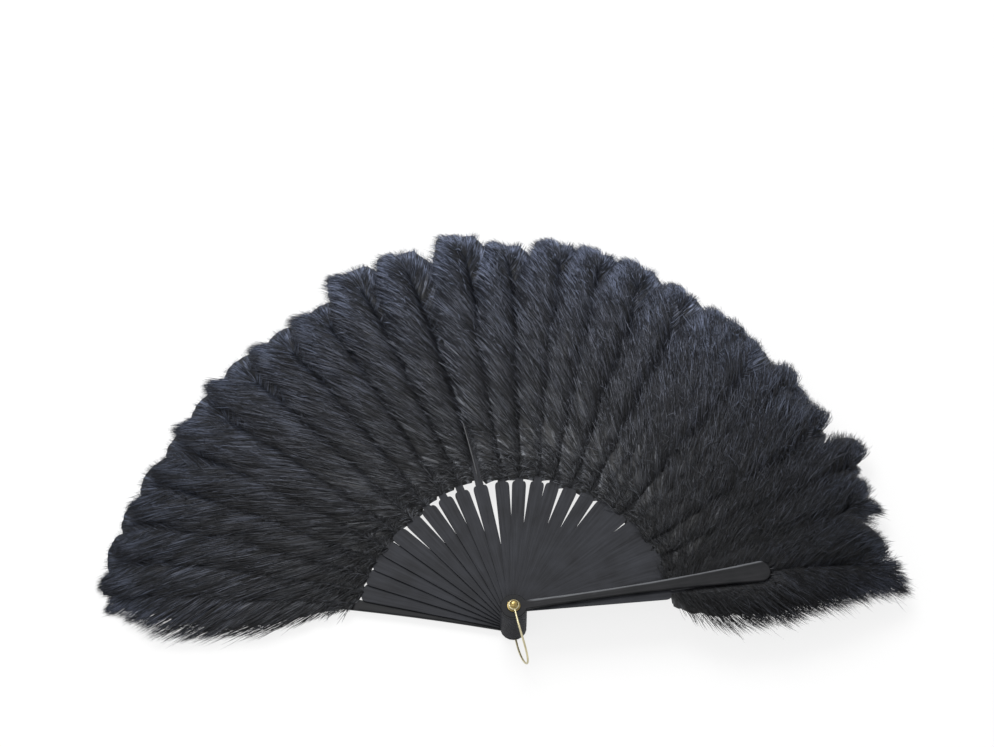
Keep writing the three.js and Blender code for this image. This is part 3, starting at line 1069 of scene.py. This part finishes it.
    def down(self) -> np.ndarray:
        """Centre lines of short soft barbs round the base.

        Returns:
            Lines in the leaf's coordinates.
        """
        count, shape = self.down_barbs, self.down_shape
        along = shape.span * self.rng.uniform(0.0, 1.0, count) ** shape.crowding
        left_chance = 1.0 if self.is_last else shape.left_chance
        side = np.where(self.rng.uniform(0.0, 1.0, count) < left_chance, Vane.LEFT.value, Vane.RIGHT.value)
        most_lean = shape.most_lean + shape.lean_growth * self.share
        lean = np.radians(side * self.rng.uniform(shape.least_lean, most_lean, count))
        length = self.rng.uniform(*shape.length, count)
        bend = self.rng.normal(0.0, shape.bend, count)
        rise = np.where(side > 0.0, self.rng.uniform(*shape.left_rise, count), shape.right_rise)
        droop = self.rng.uniform(*shape.droop, count)
        form = VaneForm(along, lean, length, bend, rise, droop)
        return self.lines(form, np.linspace(0.0, 1.0, self.points), shape.wildness)

    def settled(self, points: np.ndarray) -> np.ndarray:
        """Points of the plume in the fan's coordinates, kept off the floor, under the guard and short of the
        farthest reach.

        Args:
            points: points in the leaf's coordinates.

        Returns:
            The moved points.
        """
        points = self.to_fan(points)
        easing = self.layout.easing
        past = np.maximum(points[..., 1] - self.layout.farthest + easing, 0.0)
        points[..., 1] += easing * np.tanh(past / easing) - past
        points[..., 2] = np.clip(points[..., 2], self.layout.lowest, self.ceiling(points))
        return points

    def ceiling(self, points: np.ndarray) -> np.ndarray:
        """Height that barbs stay under, so that the front guard and one inner rib lie on them.

        Args:
            points: points in the fan's coordinates.

        Returns:
            The greatest height at each point.
        """
        past_guard = self.clearance(points, self.layout.leaves - 1, self.guard_strip)
        past_rib = self.clearance(points, self.layout.shown_rib, self.rib_strip)
        return np.minimum(self.guard_underside + self.guard_slope * past_guard,
                          self.layout.rib_level + self.rib_slope * past_rib)

    def clearance(self, points: np.ndarray, leaf: int, strip: Profile) -> np.ndarray:
        """Distance of points from the strip that a leaf's stick lies on.

        Args:
            points: points in the fan's coordinates.
            leaf: the leaf.
            strip: half its width at distances from the rivet's axis, up to its end.

        Returns:
            The distance past the strip's sides and end, and 0 on it.
        """
        angle = math.radians(self.layout.angle(leaf))
        along = points[..., 0] * math.cos(angle) + points[..., 1] * math.sin(angle)
        across = np.abs(points[..., 1] * math.cos(angle) - points[..., 0] * math.sin(angle))
        return np.maximum(across - strip.at(along), 0.0) + np.maximum(along - strip.places[-1], 0.0)

    def to_fan(self, points: np.ndarray) -> np.ndarray:
        """Turns points from the leaf's coordinates into the fan's.

        Args:
            points: points in the leaf's coordinates.

        Returns:
            The turned points.
        """
        angle = math.radians(self.layout.angle(self.leaf))
        x, y = points[..., 0], points[..., 1]
        turned = [x * math.cos(angle) - y * math.sin(angle), x * math.sin(angle) + y * math.cos(angle)]
        return np.stack([*turned, points[..., 2]], -1)

    def tones(self, lines: np.ndarray) -> np.ndarray:
        """Places of barbs across the map, from the plume's base to its tip, nearly the same within a lock.

        Args:
            lines: centre lines in the leaf's coordinates.

        Returns:
            Where each barb's strip of the map starts.
        """
        root = self.layout.root(self.leaf)
        along = np.clip((lines[:, 0, 0] - root) / (self.reach - self.overhang - root), 0.0, 1.0)
        lock = self.locks(len(lines), *self.tone_lock_sizes)
        shift = self.rng.uniform(-1.0, 1.0, lock.max() + 1)[lock] * self.tone_spread
        middle = self.tone_spread + (1.0 - 2.0 * self.tone_spread) * along
        jitter = self.rng.normal(0.0, self.tone_jitter, len(lines))
        return np.clip(middle + shift + jitter, 0.0, 1.0 - self.strip)

    def strands(self, lines: np.ndarray,
                tones: np.ndarray) -> tuple[np.ndarray, list[np.ndarray], list[np.ndarray]]:
        """Gives each centre line a thin, pointed, three-sided body.

        Args:
            lines: centre lines in the fan's coordinates.
            tones: where each barb's strip of the map starts.

        Returns:
            Corners, groups of faces, and each group's places in the map.
        """
        count, points = lines.shape[:2]
        rings = points - 1
        u = np.linspace(0.0, 1.0, points)
        ahead = np.gradient(lines, axis=1)
        ahead /= np.linalg.norm(ahead, axis=2, keepdims=True)
        across = np.cross(ahead, [0.0, 0.0, 1.0])
        shortest = 1e-6
        across /= np.maximum(np.linalg.norm(across, axis=2, keepdims=True), shortest)
        above = np.cross(across, ahead)
        roll = self.rng.uniform(-self.roll_spread, self.roll_spread, count)[:, None, None]
        across, above = (across * np.cos(roll) + above * np.sin(roll),
                         above * np.cos(roll) - across * np.sin(roll))
        taper = 1.0 - self.tip_taper * u ** self.taper_power
        swelling = np.minimum(1.0, self.root_width + self.root_growth * u)
        size = self.rng.uniform(*self.size_range, count)[:, None] * taper * swelling
        side = across * (size * self.half_width)[:, :, None]
        lift = above * (size * self.thickness)[:, :, None]
        corners = np.stack([lines - side, lines + lift, lines + side], 2)[:, :rings]
        body = corners.reshape(count, rings * 3, 3)
        vertices = np.concatenate([body, lines[:, -1:, :]], 1)
        per_barb = rings * 3 + 1
        first = (np.arange(count) * per_barb)[:, None, None]
        ring, edge = np.meshgrid(np.arange(rings - 1), np.arange(3), indexing="ij")
        ring, edge = ring.ravel(), edge.ravel()
        beside = (edge + 1) % 3
        near, far = ring * 3, (ring + 1) * 3
        quad = np.stack([near + edge, near + beside, far + beside, far + edge], -1)
        last = (rings - 1) * 3
        point = np.stack([last + np.arange(3), last + (np.arange(3) + 1) % 3, np.full(3, rings * 3)], -1)
        cap = np.array([[2, 1, 0]])
        faces = [(first + group[None]).reshape(-1, group.shape[1]) for group in (quad, point, cap)]
        return vertices.reshape(-1, 3), faces, self.map_places(tones, rings, ring, edge)

    def map_places(self, start: np.ndarray, rings: int, ring: np.ndarray,
                   edge: np.ndarray) -> list[np.ndarray]:
        """Places of the faces of barbs in the map: u along the barb, and a strip of v for each barb.

        Args:
            start: where each barb's strip starts.
            rings: rings of corners on a barb.
            ring: the ring of each side face.
            edge: the side of each side face.

        Returns:
            One array for each group of faces, with a row for each corner.
        """
        u0, u1 = ring / rings, (ring + 1) / rings
        low, high = edge / 3.0, (edge + 1) / 3.0
        sides = np.stack([np.stack([u0, low], -1), np.stack([u0, high], -1),
                          np.stack([u1, high], -1), np.stack([u1, low], -1)], 1)
        edges = np.arange(3)
        end = np.full(3, (rings - 1) / rings)
        tips = np.stack([np.stack([end, edges / 3.0], -1), np.stack([end, (edges + 1) / 3.0], -1),
                         np.stack([np.ones(3), (edges + 0.5) / 3.0], -1)], 1)
        caps = np.array([[[0.0, 0.67], [0.02, 0.33], [0.0, 0.0]]])
        places = []
        for group in (sides, tips, caps):
            spread = np.repeat(group[None], len(start), 0)
            spread[..., 1] = start[:, None, None] + spread[..., 1] * self.strip
            places.append(spread.reshape(-1, 2))
        return places

    def web(self, side: Vane) -> tuple[np.ndarray, np.ndarray, np.ndarray]:
        """The fine under-barbs of a vane: a thin closed sheet under the loose barbs, with a ragged edge.

        Args:
            side: which vane.

        Returns:
            Corners, faces with four corners each, and the faces' places in the map.
        """
        columns, rows = self.web_columns + 1, self.points
        place = np.linspace(0.0, TIP_END, columns)
        form = self.form(place, side)
        if side is self.free_vane:
            cover = self.free_web_cover.at(place)
            raggedness = self.free_web_raggedness
        else:
            tip_cover = float(self.web_tip_cover_by_share.at(self.share))
            cover = np.interp(place, (*self.web_cover.places, TIP_END), (*self.web_cover.values, tip_cover))
            raggedness = self.web_raggedness
        form.length = form.length * (cover + self.rng.uniform(-raggedness, raggedness, columns))
        form.rise = form.rise + self.rng.uniform(-self.web_unevenness, self.web_unevenness, columns)
        middle = self.lines(form, np.linspace(self.web_start, 1.0, rows), 0.0)
        middle[:, 0, 1] -= side.value * self.web_overlap
        sheets = []
        for depth in self.web_depth:
            sheet = self.settled(middle)
            sheet[..., 2] -= depth
            sheets.append(sheet.reshape(-1, 3))
        column, row = np.meshgrid(np.arange(columns - 1), np.arange(rows - 1), indexing="ij")
        near = (column * rows + row).ravel()
        top = np.stack([near, near + rows, near + rows + 1, near + 1], -1)
        if side is Vane.LEFT:
            top = top[:, ::-1]
        under = columns * rows
        rim = np.concatenate([np.arange(columns) * rows, (columns - 1) * rows + np.arange(1, rows),
                              np.arange(columns - 2, -1, -1) * rows + rows - 1, np.arange(rows - 2, 0, -1)])
        after = np.roll(rim, -1)
        edge = np.stack([rim, rim + under, after + under, after], -1)
        if side is Vane.LEFT:
            edge = edge[:, ::-1]
        faces = np.concatenate([top, top[:, ::-1] + under, edge])
        v = np.repeat(np.linspace(0.0, self.web_map_end, columns), rows)
        u = np.tile(np.linspace(0.0, self.web_map_end, rows), columns)
        places = np.stack([np.tile(u, 2), np.tile(v, 2)], -1)[faces]
        lifted = places[-len(edge):]
        lifted[np.isin(faces[-len(edge):], rim + under)] += self.web_map_rim
        return np.concatenate(sheets), faces, np.clip(places, 0.0, 1.0).reshape(-1, 2)

    def build_barbs(self, material: bpy.types.Material) -> bpy.types.Object:
        """Makes the plume's barbs as one piece.

        Args:
            material: the barbs' finish.

        Returns:
            The piece.
        """
        groups = [make(side) for side in Vane for make in (self.vane, self.fluff)]
        lines = np.concatenate([*groups, self.down()])
        vertices, faces, places = self.strands(self.settled(lines), self.tones(lines))
        for side in Vane:
            corners, quads, chart = self.web(side)
            faces.append(quads + len(vertices))
            vertices = np.concatenate([vertices, corners])
            places.append(chart)
        piece = make_object(f"barbs_{self.layout.label(self.leaf)}", vertices, faces, material)
        chart = piece.data.uv_layers.new(name="OFBake")
        chart.data.foreach_set("uv", np.concatenate(places).astype(np.float32).ravel())
        return piece

    def build_quill(self, material: bpy.types.Material) -> bpy.types.Object:
        """Makes the quill as a tapering tube.

        Args:
            material: the quill's finish.

        Returns:
            The piece.
        """
        steps, sides = self.quill_steps, self.quill_sides
        along = np.linspace(0.0, 1.0, steps)
        middle = self.quill(along) - [0.0, 0.0, self.quill_drop]
        radius = self.quill_radius * (1.0 - self.quill_taper * along)
        turn = np.arange(sides) * 2.0 * np.pi / sides
        heading = self.heading(along)
        across = np.stack([-np.sin(heading), np.cos(heading), np.zeros(steps)], -1)
        above = np.array([0.0, 0.0, self.quill_flatness])
        rim = np.cos(turn)[None, :, None] * across[:, None, :] + np.sin(turn)[None, :, None] * above
        points = middle[:, None, :] + rim * radius[:, None, None]
        quads = turned_faces(steps, sides)[: (steps - 1) * sides]
        ends = np.stack([np.arange(sides)[::-1], (steps - 1) * sides + np.arange(sides)])
        name = f"quill_{self.layout.label(self.leaf)}"
        return make_object(name, self.to_fan(points.reshape(-1, 3)), [quads, ends], material)

    def build(self, barb_finish: bpy.types.Material,
              quill_finish: bpy.types.Material) -> list[bpy.types.Object]:
        """Makes the plume and puts it on its leaf.

        Args:
            barb_finish: finish of the barbs.
            quill_finish: finish of the quill.

        Returns:
            The plume's pieces.
        """
        pieces = [self.build_barbs(barb_finish), self.build_quill(quill_finish)]
        for piece in pieces:
            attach(piece, self.layout.body(self.leaf))
        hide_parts(f"plume_{self.layout.label(self.leaf)}")
        return pieces


@dataclass
class Sticks:
    """The guards and inner sticks, which keep their CAD shape and get softened edges and a wood finish."""

    layout: FanLayout
    edge: float = 0.18
    guard_edge: float = 0.5
    weld: float = 0.01

    def dress(self, stick_finish: bpy.types.Material,
              guard_finish: bpy.types.Material) -> list[bpy.types.Object]:
        """Finishes every stick and guard.

        Args:
            stick_finish: the sticks' wood finish.
            guard_finish: the guards' wood finish, with the front guard's painted highlight.

        Returns:
            The dressed nodes.
        """
        dressed = []
        for leaf in range(self.layout.leaves):
            is_guard = leaf in (0, self.layout.leaves - 1)
            name = ("guard_" if is_guard else "stick_") + self.layout.label(leaf)
            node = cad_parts[name]
            soften(node, self.guard_edge if is_guard else self.edge, self.weld)
            coat(node, guard_finish if is_guard else stick_finish)
            dressed.append(node)
        return dressed


def soften(node: bpy.types.Object, width: float, weld: float) -> None:
    """Rounds a CAD node's sharp edges with modifiers.

    Args:
        node: the node.
        width: width of the rounding, in millimetres.
        weld: distance under which split corners are joined, in millimetres.
    """
    sharp_angle = 25.0
    joined = node.modifiers.new("joined_corners", "WELD")
    joined.merge_threshold = weld * MM
    rounded = node.modifiers.new("rubbed_edges", "BEVEL")
    rounded.width = width * MM
    rounded.segments = 2
    rounded.limit_method = "ANGLE"
    rounded.angle_limit = math.radians(sharp_angle)
    rounded.harden_normals = True


def coat(node: bpy.types.Object, material: bpy.types.Material) -> None:
    """Gives a node one finish."""
    node.data.materials.clear()
    node.data.materials.append(material)


@dataclass
class Rivet:
    """The brass rivet: pin, domed cap with a rolled rim, and the two washers."""

    cap_radius: float = 3.6
    cap_height: float = 2.4
    cap_level: float = 48.3
    rim_insets: tuple[float, ...] = (0.25, 0.05, 0.0, 0.1, 0.35)
    rim_heights: tuple[float, ...] = (0.0, 0.08, 0.3, 0.52, 0.62)
    dome_inset: float = 0.45
    dome_base: float = 0.66
    dome_steps: int = 14
    axis_gap: float = 0.02
    bore: float = 1.9
    bore_depth: float = 1.2
    washer_radius: float = 5.4
    washer_thickness: float = 0.6
    washer_edge: float = 0.18
    washer_levels: tuple[float, float] = (3.2, 45.7)
    pin_edge: float = 0.25
    pin_weld: float = 0.01
    steps: int = 72

    def turned(self, name: str, profile: list[tuple[float, float]],
               material: bpy.types.Material) -> bpy.types.Object:
        """Turns a closed profile about the rivet's axis.

        Args:
            name: the piece's name.
            profile: radii and heights, anticlockwise, closed by itself.
            material: the finish.

        Returns:
            The piece.
        """
        turn = np.arange(self.steps) * 2.0 * np.pi / self.steps
        radius, height = np.array(profile).T
        points = np.stack([np.outer(radius, np.cos(turn)), np.outer(radius, np.sin(turn)),
                           np.repeat(height[:, None], self.steps, 1)], -1)
        return make_object(name, points.reshape(-1, 3), [turned_faces(len(profile), self.steps)], material)

    def cap_profile(self) -> list[tuple[float, float]]:
        """The cap's section: a dome over a small rolled rim, hollow over the end of the pin.

        Returns:
            Radii and heights, anticlockwise.
        """
        rim = zip(self.rim_insets, self.rim_heights)
        section = [(self.cap_radius - inset, height) for inset, height in rim]
        dome_radius, dome_height = self.cap_radius - self.dome_inset, self.cap_height - self.dome_base
        for step in range(self.dome_steps + 1):
            angle = math.pi / 2 * step / self.dome_steps
            section.append((dome_radius * math.cos(angle) + self.axis_gap,
                            self.dome_base + dome_height * math.sin(angle)))
        section += [(self.axis_gap, self.bore_depth), (self.bore, self.bore_depth), (self.bore, 0.0)]
        return [(radius, self.cap_level + height) for radius, height in section]

    def washer_profile(self, level: float) -> list[tuple[float, float]]:
        """A washer's section, with rounded edges.

        Args:
            level: height of its underside.

        Returns:
            Radii and heights, anticlockwise.
        """
        low, high = level, level + self.washer_thickness
        outer, inset = self.washer_radius, self.washer_radius - self.washer_edge
        return [(self.bore, low), (inset, low), (outer, low + self.washer_edge),
                (outer, high - self.washer_edge), (inset, high), (self.bore, high)]

    def build(self, material: bpy.types.Material) -> list[bpy.types.Object]:
        """Makes the cap and washers and dresses the pin.

        Args:
            material: the brass finish.

        Returns:
            The pieces.
        """
        pieces = [self.turned("domed_cap", self.cap_profile(), material)]
        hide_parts("rivet_cap")
        for name, level in zip(("washer_back", "washer_front"), self.washer_levels):
            pieces.append(self.turned("turned_" + name, self.washer_profile(level), material))
            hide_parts(name)
        for piece in pieces:
            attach(piece, "base")
        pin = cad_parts["rivet_pin"]
        soften(pin, self.pin_edge, self.pin_weld)
        coat(pin, material)
        return pieces + [pin]


@dataclass
class Bail:
    """The wire loop: two flattened eyes on the rivet and a long bow of round wire."""

    wire: float = 1.7
    side_bow: float = 3.0
    eye_radius: float = 4.6
    bore: float = 1.9
    reach: float = 40.0
    bow_depth: float = 24.0
    front_level: float = 47.3
    back_level: float = 2.2
    rest_angle: float = -78.0
    steps: int = 160
    leg_steps: int = 11
    sides: int = 14
    eye_steps: int = 48
    eye_sides: int = 16
    eye_flatness: float = 0.7

    def centre_line(self) -> np.ndarray:
        """The wire's middle, from the front eye round the bow to the back one, along +X.

        Returns:
            Points in order.
        """
        start = (self.bore + self.eye_radius) / 2
        bow_start = self.reach - self.bow_depth
        half = (self.front_level - self.back_level) / 2
        middle = (self.front_level + self.back_level) / 2
        turn = np.linspace(math.pi / 2, -math.pi / 2, self.steps)
        bow = np.stack([bow_start + self.bow_depth * np.cos(turn), np.zeros(self.steps),
                        middle + half * np.sin(turn)], -1)
        leg = np.linspace(start, bow_start, self.leg_steps + 1)[:-1]
        front = np.stack([leg, np.zeros_like(leg), np.full_like(leg, self.front_level)], -1)
        back = front[::-1] * [1.0, 1.0, 0.0] + [0.0, 0.0, self.back_level]
        line = np.concatenate([front, bow, back])
        line[:, 1] = self.side_bow * np.sin(np.pi * np.linspace(0.0, 1.0, len(line))) ** 2
        return line

    def tube(self, line: np.ndarray) -> tuple[np.ndarray, list[np.ndarray]]:
        """A round tube on a line that stays near the XZ plane.

        Args:
            line: the centre line.

        Returns:
            Corners and groups of faces.
        """
        ahead = np.gradient(line, axis=0)
        ahead /= np.linalg.norm(ahead, axis=1, keepdims=True)
        side = np.array([0.0, 1.0, 0.0])
        above = np.cross(ahead, side)
        turn = np.arange(self.sides) * 2.0 * np.pi / self.sides
        rim = np.cos(turn)[None, :, None] * side + np.sin(turn)[None, :, None] * above[:, None, :]
        points = line[:, None, :] + rim * self.wire / 2
        quads = turned_faces(len(line), self.sides)[: (len(line) - 1) * self.sides]
        ends = np.stack([np.arange(self.sides)[::-1], (len(line) - 1) * self.sides + np.arange(self.sides)])
        return points.reshape(-1, 3), [quads, ends]

    def eye(self, level: float) -> tuple[np.ndarray, list[np.ndarray]]:
        """A flattened ring of wire round the rivet.

        Args:
            level: height of its middle.

        Returns:
            Corners and groups of faces.
        """
        around = np.arange(self.eye_steps) * 2.0 * np.pi / self.eye_steps
        section = np.arange(self.eye_sides) * 2.0 * np.pi / self.eye_sides
        radius = (self.bore + self.eye_radius) / 2 + (self.eye_radius - self.bore) / 2 * np.cos(section)
        flattened = np.sign(np.sin(section)) * np.abs(np.sin(section)) ** self.eye_flatness
        height = level + self.wire / 2 * flattened
        points = np.stack([np.outer(radius, np.cos(around)), np.outer(radius, np.sin(around)),
                           np.repeat(height[:, None], self.eye_steps, 1)], -1)
        return points.reshape(-1, 3), [turned_faces(self.eye_sides, self.eye_steps)]

    def build(self, material: bpy.types.Material) -> bpy.types.Object:
        """Makes the bail as one piece and hangs it on the rivet.

        Args:
            material: the wire's finish.

        Returns:
            The piece.
        """
        parts = [self.tube(self.centre_line()), self.eye(self.front_level), self.eye(self.back_level)]
        points, faces, offset = [], [], 0
        for corners, groups in parts:
            points.append(corners)
            faces += [group + offset for group in groups]
            offset += len(corners)
        angle = math.radians(self.rest_angle)
        turned = np.array([[math.cos(angle), math.sin(angle), 0.0], [-math.sin(angle), math.cos(angle), 0.0],
                           [0.0, 0.0, 1.0]])
        piece = make_object("wire_bail", np.concatenate(points) @ turned, faces, material)
        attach(piece, "bail")
        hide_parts("bail")
        return piece


@dataclass(frozen=True)
class Lamp:
    """A soft square lamp: its place and side in metres, and its power in watts."""

    name: str
    place: tuple[float, float, float]
    side: float
    power: float


@dataclass
class Studio:
    """Pale floor, soft lamps and the camera at the photograph's angle."""

    camera_place: tuple[float, float, float] = (-13.4, -717.2, 1491.9)
    elevation: float = 57.0
    lens: float = 72.43
    sensor_width: float = 36.0
    farthest_seen: float = 100.0
    floor_size: float = 9000.0
    floor_level: float = -0.2
    floor_colour: Colour = (0.9, 0.9, 0.9)
    floor_roughness: float = 0.9
    floor_specular: float = 0.1
    floor_whiteness: float = 0.8
    sky_strength: float = 0.65
    lamps: tuple[Lamp, ...] = (Lamp("key_lamp", (-0.35, 1.15, 1.7), 1.1, 28.0),
                               Lamp("fill_lamp", (-0.9, -0.8, 1.5), 1.5, 6.0))
    lit_place: tuple[float, float, float] = (0.0, 0.15, 0.03)

    def build(self) -> None:
        """Makes the stage."""
        self.add_camera()
        self.add_floor()
        for lamp in self.lamps:
            self.add_lamp(lamp)
        self.add_sky()
        bpy.context.scene.view_settings.view_transform = "Standard"

    def add_camera(self) -> None:
        """Adds the camera and makes it the scene's."""
        data = bpy.data.cameras.new("camera")
        data.lens = self.lens
        data.sensor_width = self.sensor_width
        data.clip_end = self.farthest_seen
        camera = bpy.data.objects.new("camera", data)
        camera.location = [value * MM for value in self.camera_place]
        camera.rotation_euler = (math.radians(90.0 - self.elevation), 0.0, 0.0)
        bpy.context.scene.collection.objects.link(camera)
        bpy.context.scene.camera = camera

    def add_floor(self) -> None:
        """Adds the floor, which the camera sees as white with the fan's shadow on it."""
        recipe = Recipe("pale_floor")
        recipe.shader.inputs["Base Color"].default_value = (*self.floor_colour, 1.0)
        recipe.shader.inputs["Roughness"].default_value = self.floor_roughness
        recipe.shader.inputs["Specular IOR Level"].default_value = self.floor_specular
        glow = recipe.add("Emission", Color=(1.0, 1.0, 1.0, 1.0))
        path = recipe.add("LightPath")
        seen = recipe.math("MAXIMUM", path.outputs["Is Camera Ray"], path.outputs["Is Glossy Ray"])
        seen = recipe.math("MAXIMUM", seen, path.outputs["Is Transmission Ray"])
        mix = recipe.add("MixShader")
        recipe.link(recipe.math("MULTIPLY", seen, self.floor_whiteness), mix.inputs["Fac"])
        recipe.link(recipe.shader.outputs[0], mix.inputs[1])
        recipe.link(glow.outputs[0], mix.inputs[2])
        recipe.link(mix.outputs[0], recipe.tree.nodes["Material Output"].inputs["Surface"])
        half, level = self.floor_size / 2, self.floor_level
        corners = [(-half, -half), (half, -half), (half, half), (-half, half)]
        points = np.array([(x, y, level) for x, y in corners])
        floor = make_object("floor", points, [np.array([[0, 1, 2, 3]])], recipe.material, smooth=False)

    def add_lamp(self, lamp: Lamp) -> None:
        """Adds a lamp that faces the fan.

        Args:
            lamp: the lamp.
        """
        data = bpy.data.lights.new(lamp.name, "AREA")
        data.energy = lamp.power
        data.size = lamp.side
        light = bpy.data.objects.new(lamp.name, data)
        light.location = lamp.place
        direction = np.array(self.lit_place) - np.array(lamp.place)
        yaw = math.atan2(direction[0], -direction[1])
        tilt = math.atan2(math.hypot(direction[0], direction[1]), -direction[2])
        light.rotation_euler = (tilt, 0.0, yaw + math.pi)
        bpy.context.scene.collection.objects.link(light)

    def add_sky(self) -> None:
        """Adds an even sky that the camera sees as white."""
        world = bpy.data.worlds.new("sky")
        world.use_nodes = True
        bpy.context.scene.world = world
        nodes, links = world.node_tree.nodes, world.node_tree.links
        plain = nodes["Background"]
        plain.inputs["Color"].default_value = (1.0, 1.0, 1.0, 1.0)
        plain.inputs["Strength"].default_value = self.sky_strength
        white = nodes.new("ShaderNodeBackground")
        white.inputs["Color"].default_value = (1.0, 1.0, 1.0, 1.0)
        path = nodes.new("ShaderNodeLightPath")
        mix = nodes.new("ShaderNodeMixShader")
        links.new(path.outputs["Is Camera Ray"], mix.inputs["Fac"])
        links.new(plain.outputs[0], mix.inputs[1])
        links.new(white.outputs[0], mix.inputs[2])
        links.new(mix.outputs[0], nodes["World Output"].inputs["Surface"])


def main() -> None:
    """Dresses the fan piece by piece and sets the stage."""
    logging.basicConfig(level=logging.INFO, format="%(name)s: %(message)s")
    layout = FanLayout()
    wood = EbonisedWood().material()
    guard_wood = WornGuard().material()
    brass = WornBrass("brass", bright=(0.46, 0.35, 0.14), dull=(0.22, 0.16, 0.06)).material()
    wire = WornBrass("pale_brass", bright=(0.66, 0.60, 0.40), dull=(0.50, 0.45, 0.28), roughness=(0.32, 0.46),
                     patches=90.0, scuff=0.04).material()
    # each leaf's barbs get a material with its painted light level and painted shade
    dyes = dict.fromkeys(layout.dye(leaf) for leaf in range(layout.leaves))
    barb_finishes = {dye: dye.material() for dye in dyes}
    quill_finish = DyedQuill().material()
    for node in Sticks(layout).dress(wood, guard_wood):
        LOG.info("dressed %s", node.name)
    for leaf in range(layout.leaves):
        for piece in Plume(layout, leaf).build(barb_finishes[layout.dye(leaf)], quill_finish):
            LOG.info("made %s with %d faces", piece.name, len(piece.data.polygons))
    for piece in Rivet().build(brass):
        LOG.info("made %s", piece.name)
    LOG.info("made %s", Bail().build(wire).name)
    Studio().build()


if __name__ == "__main__":
    main()
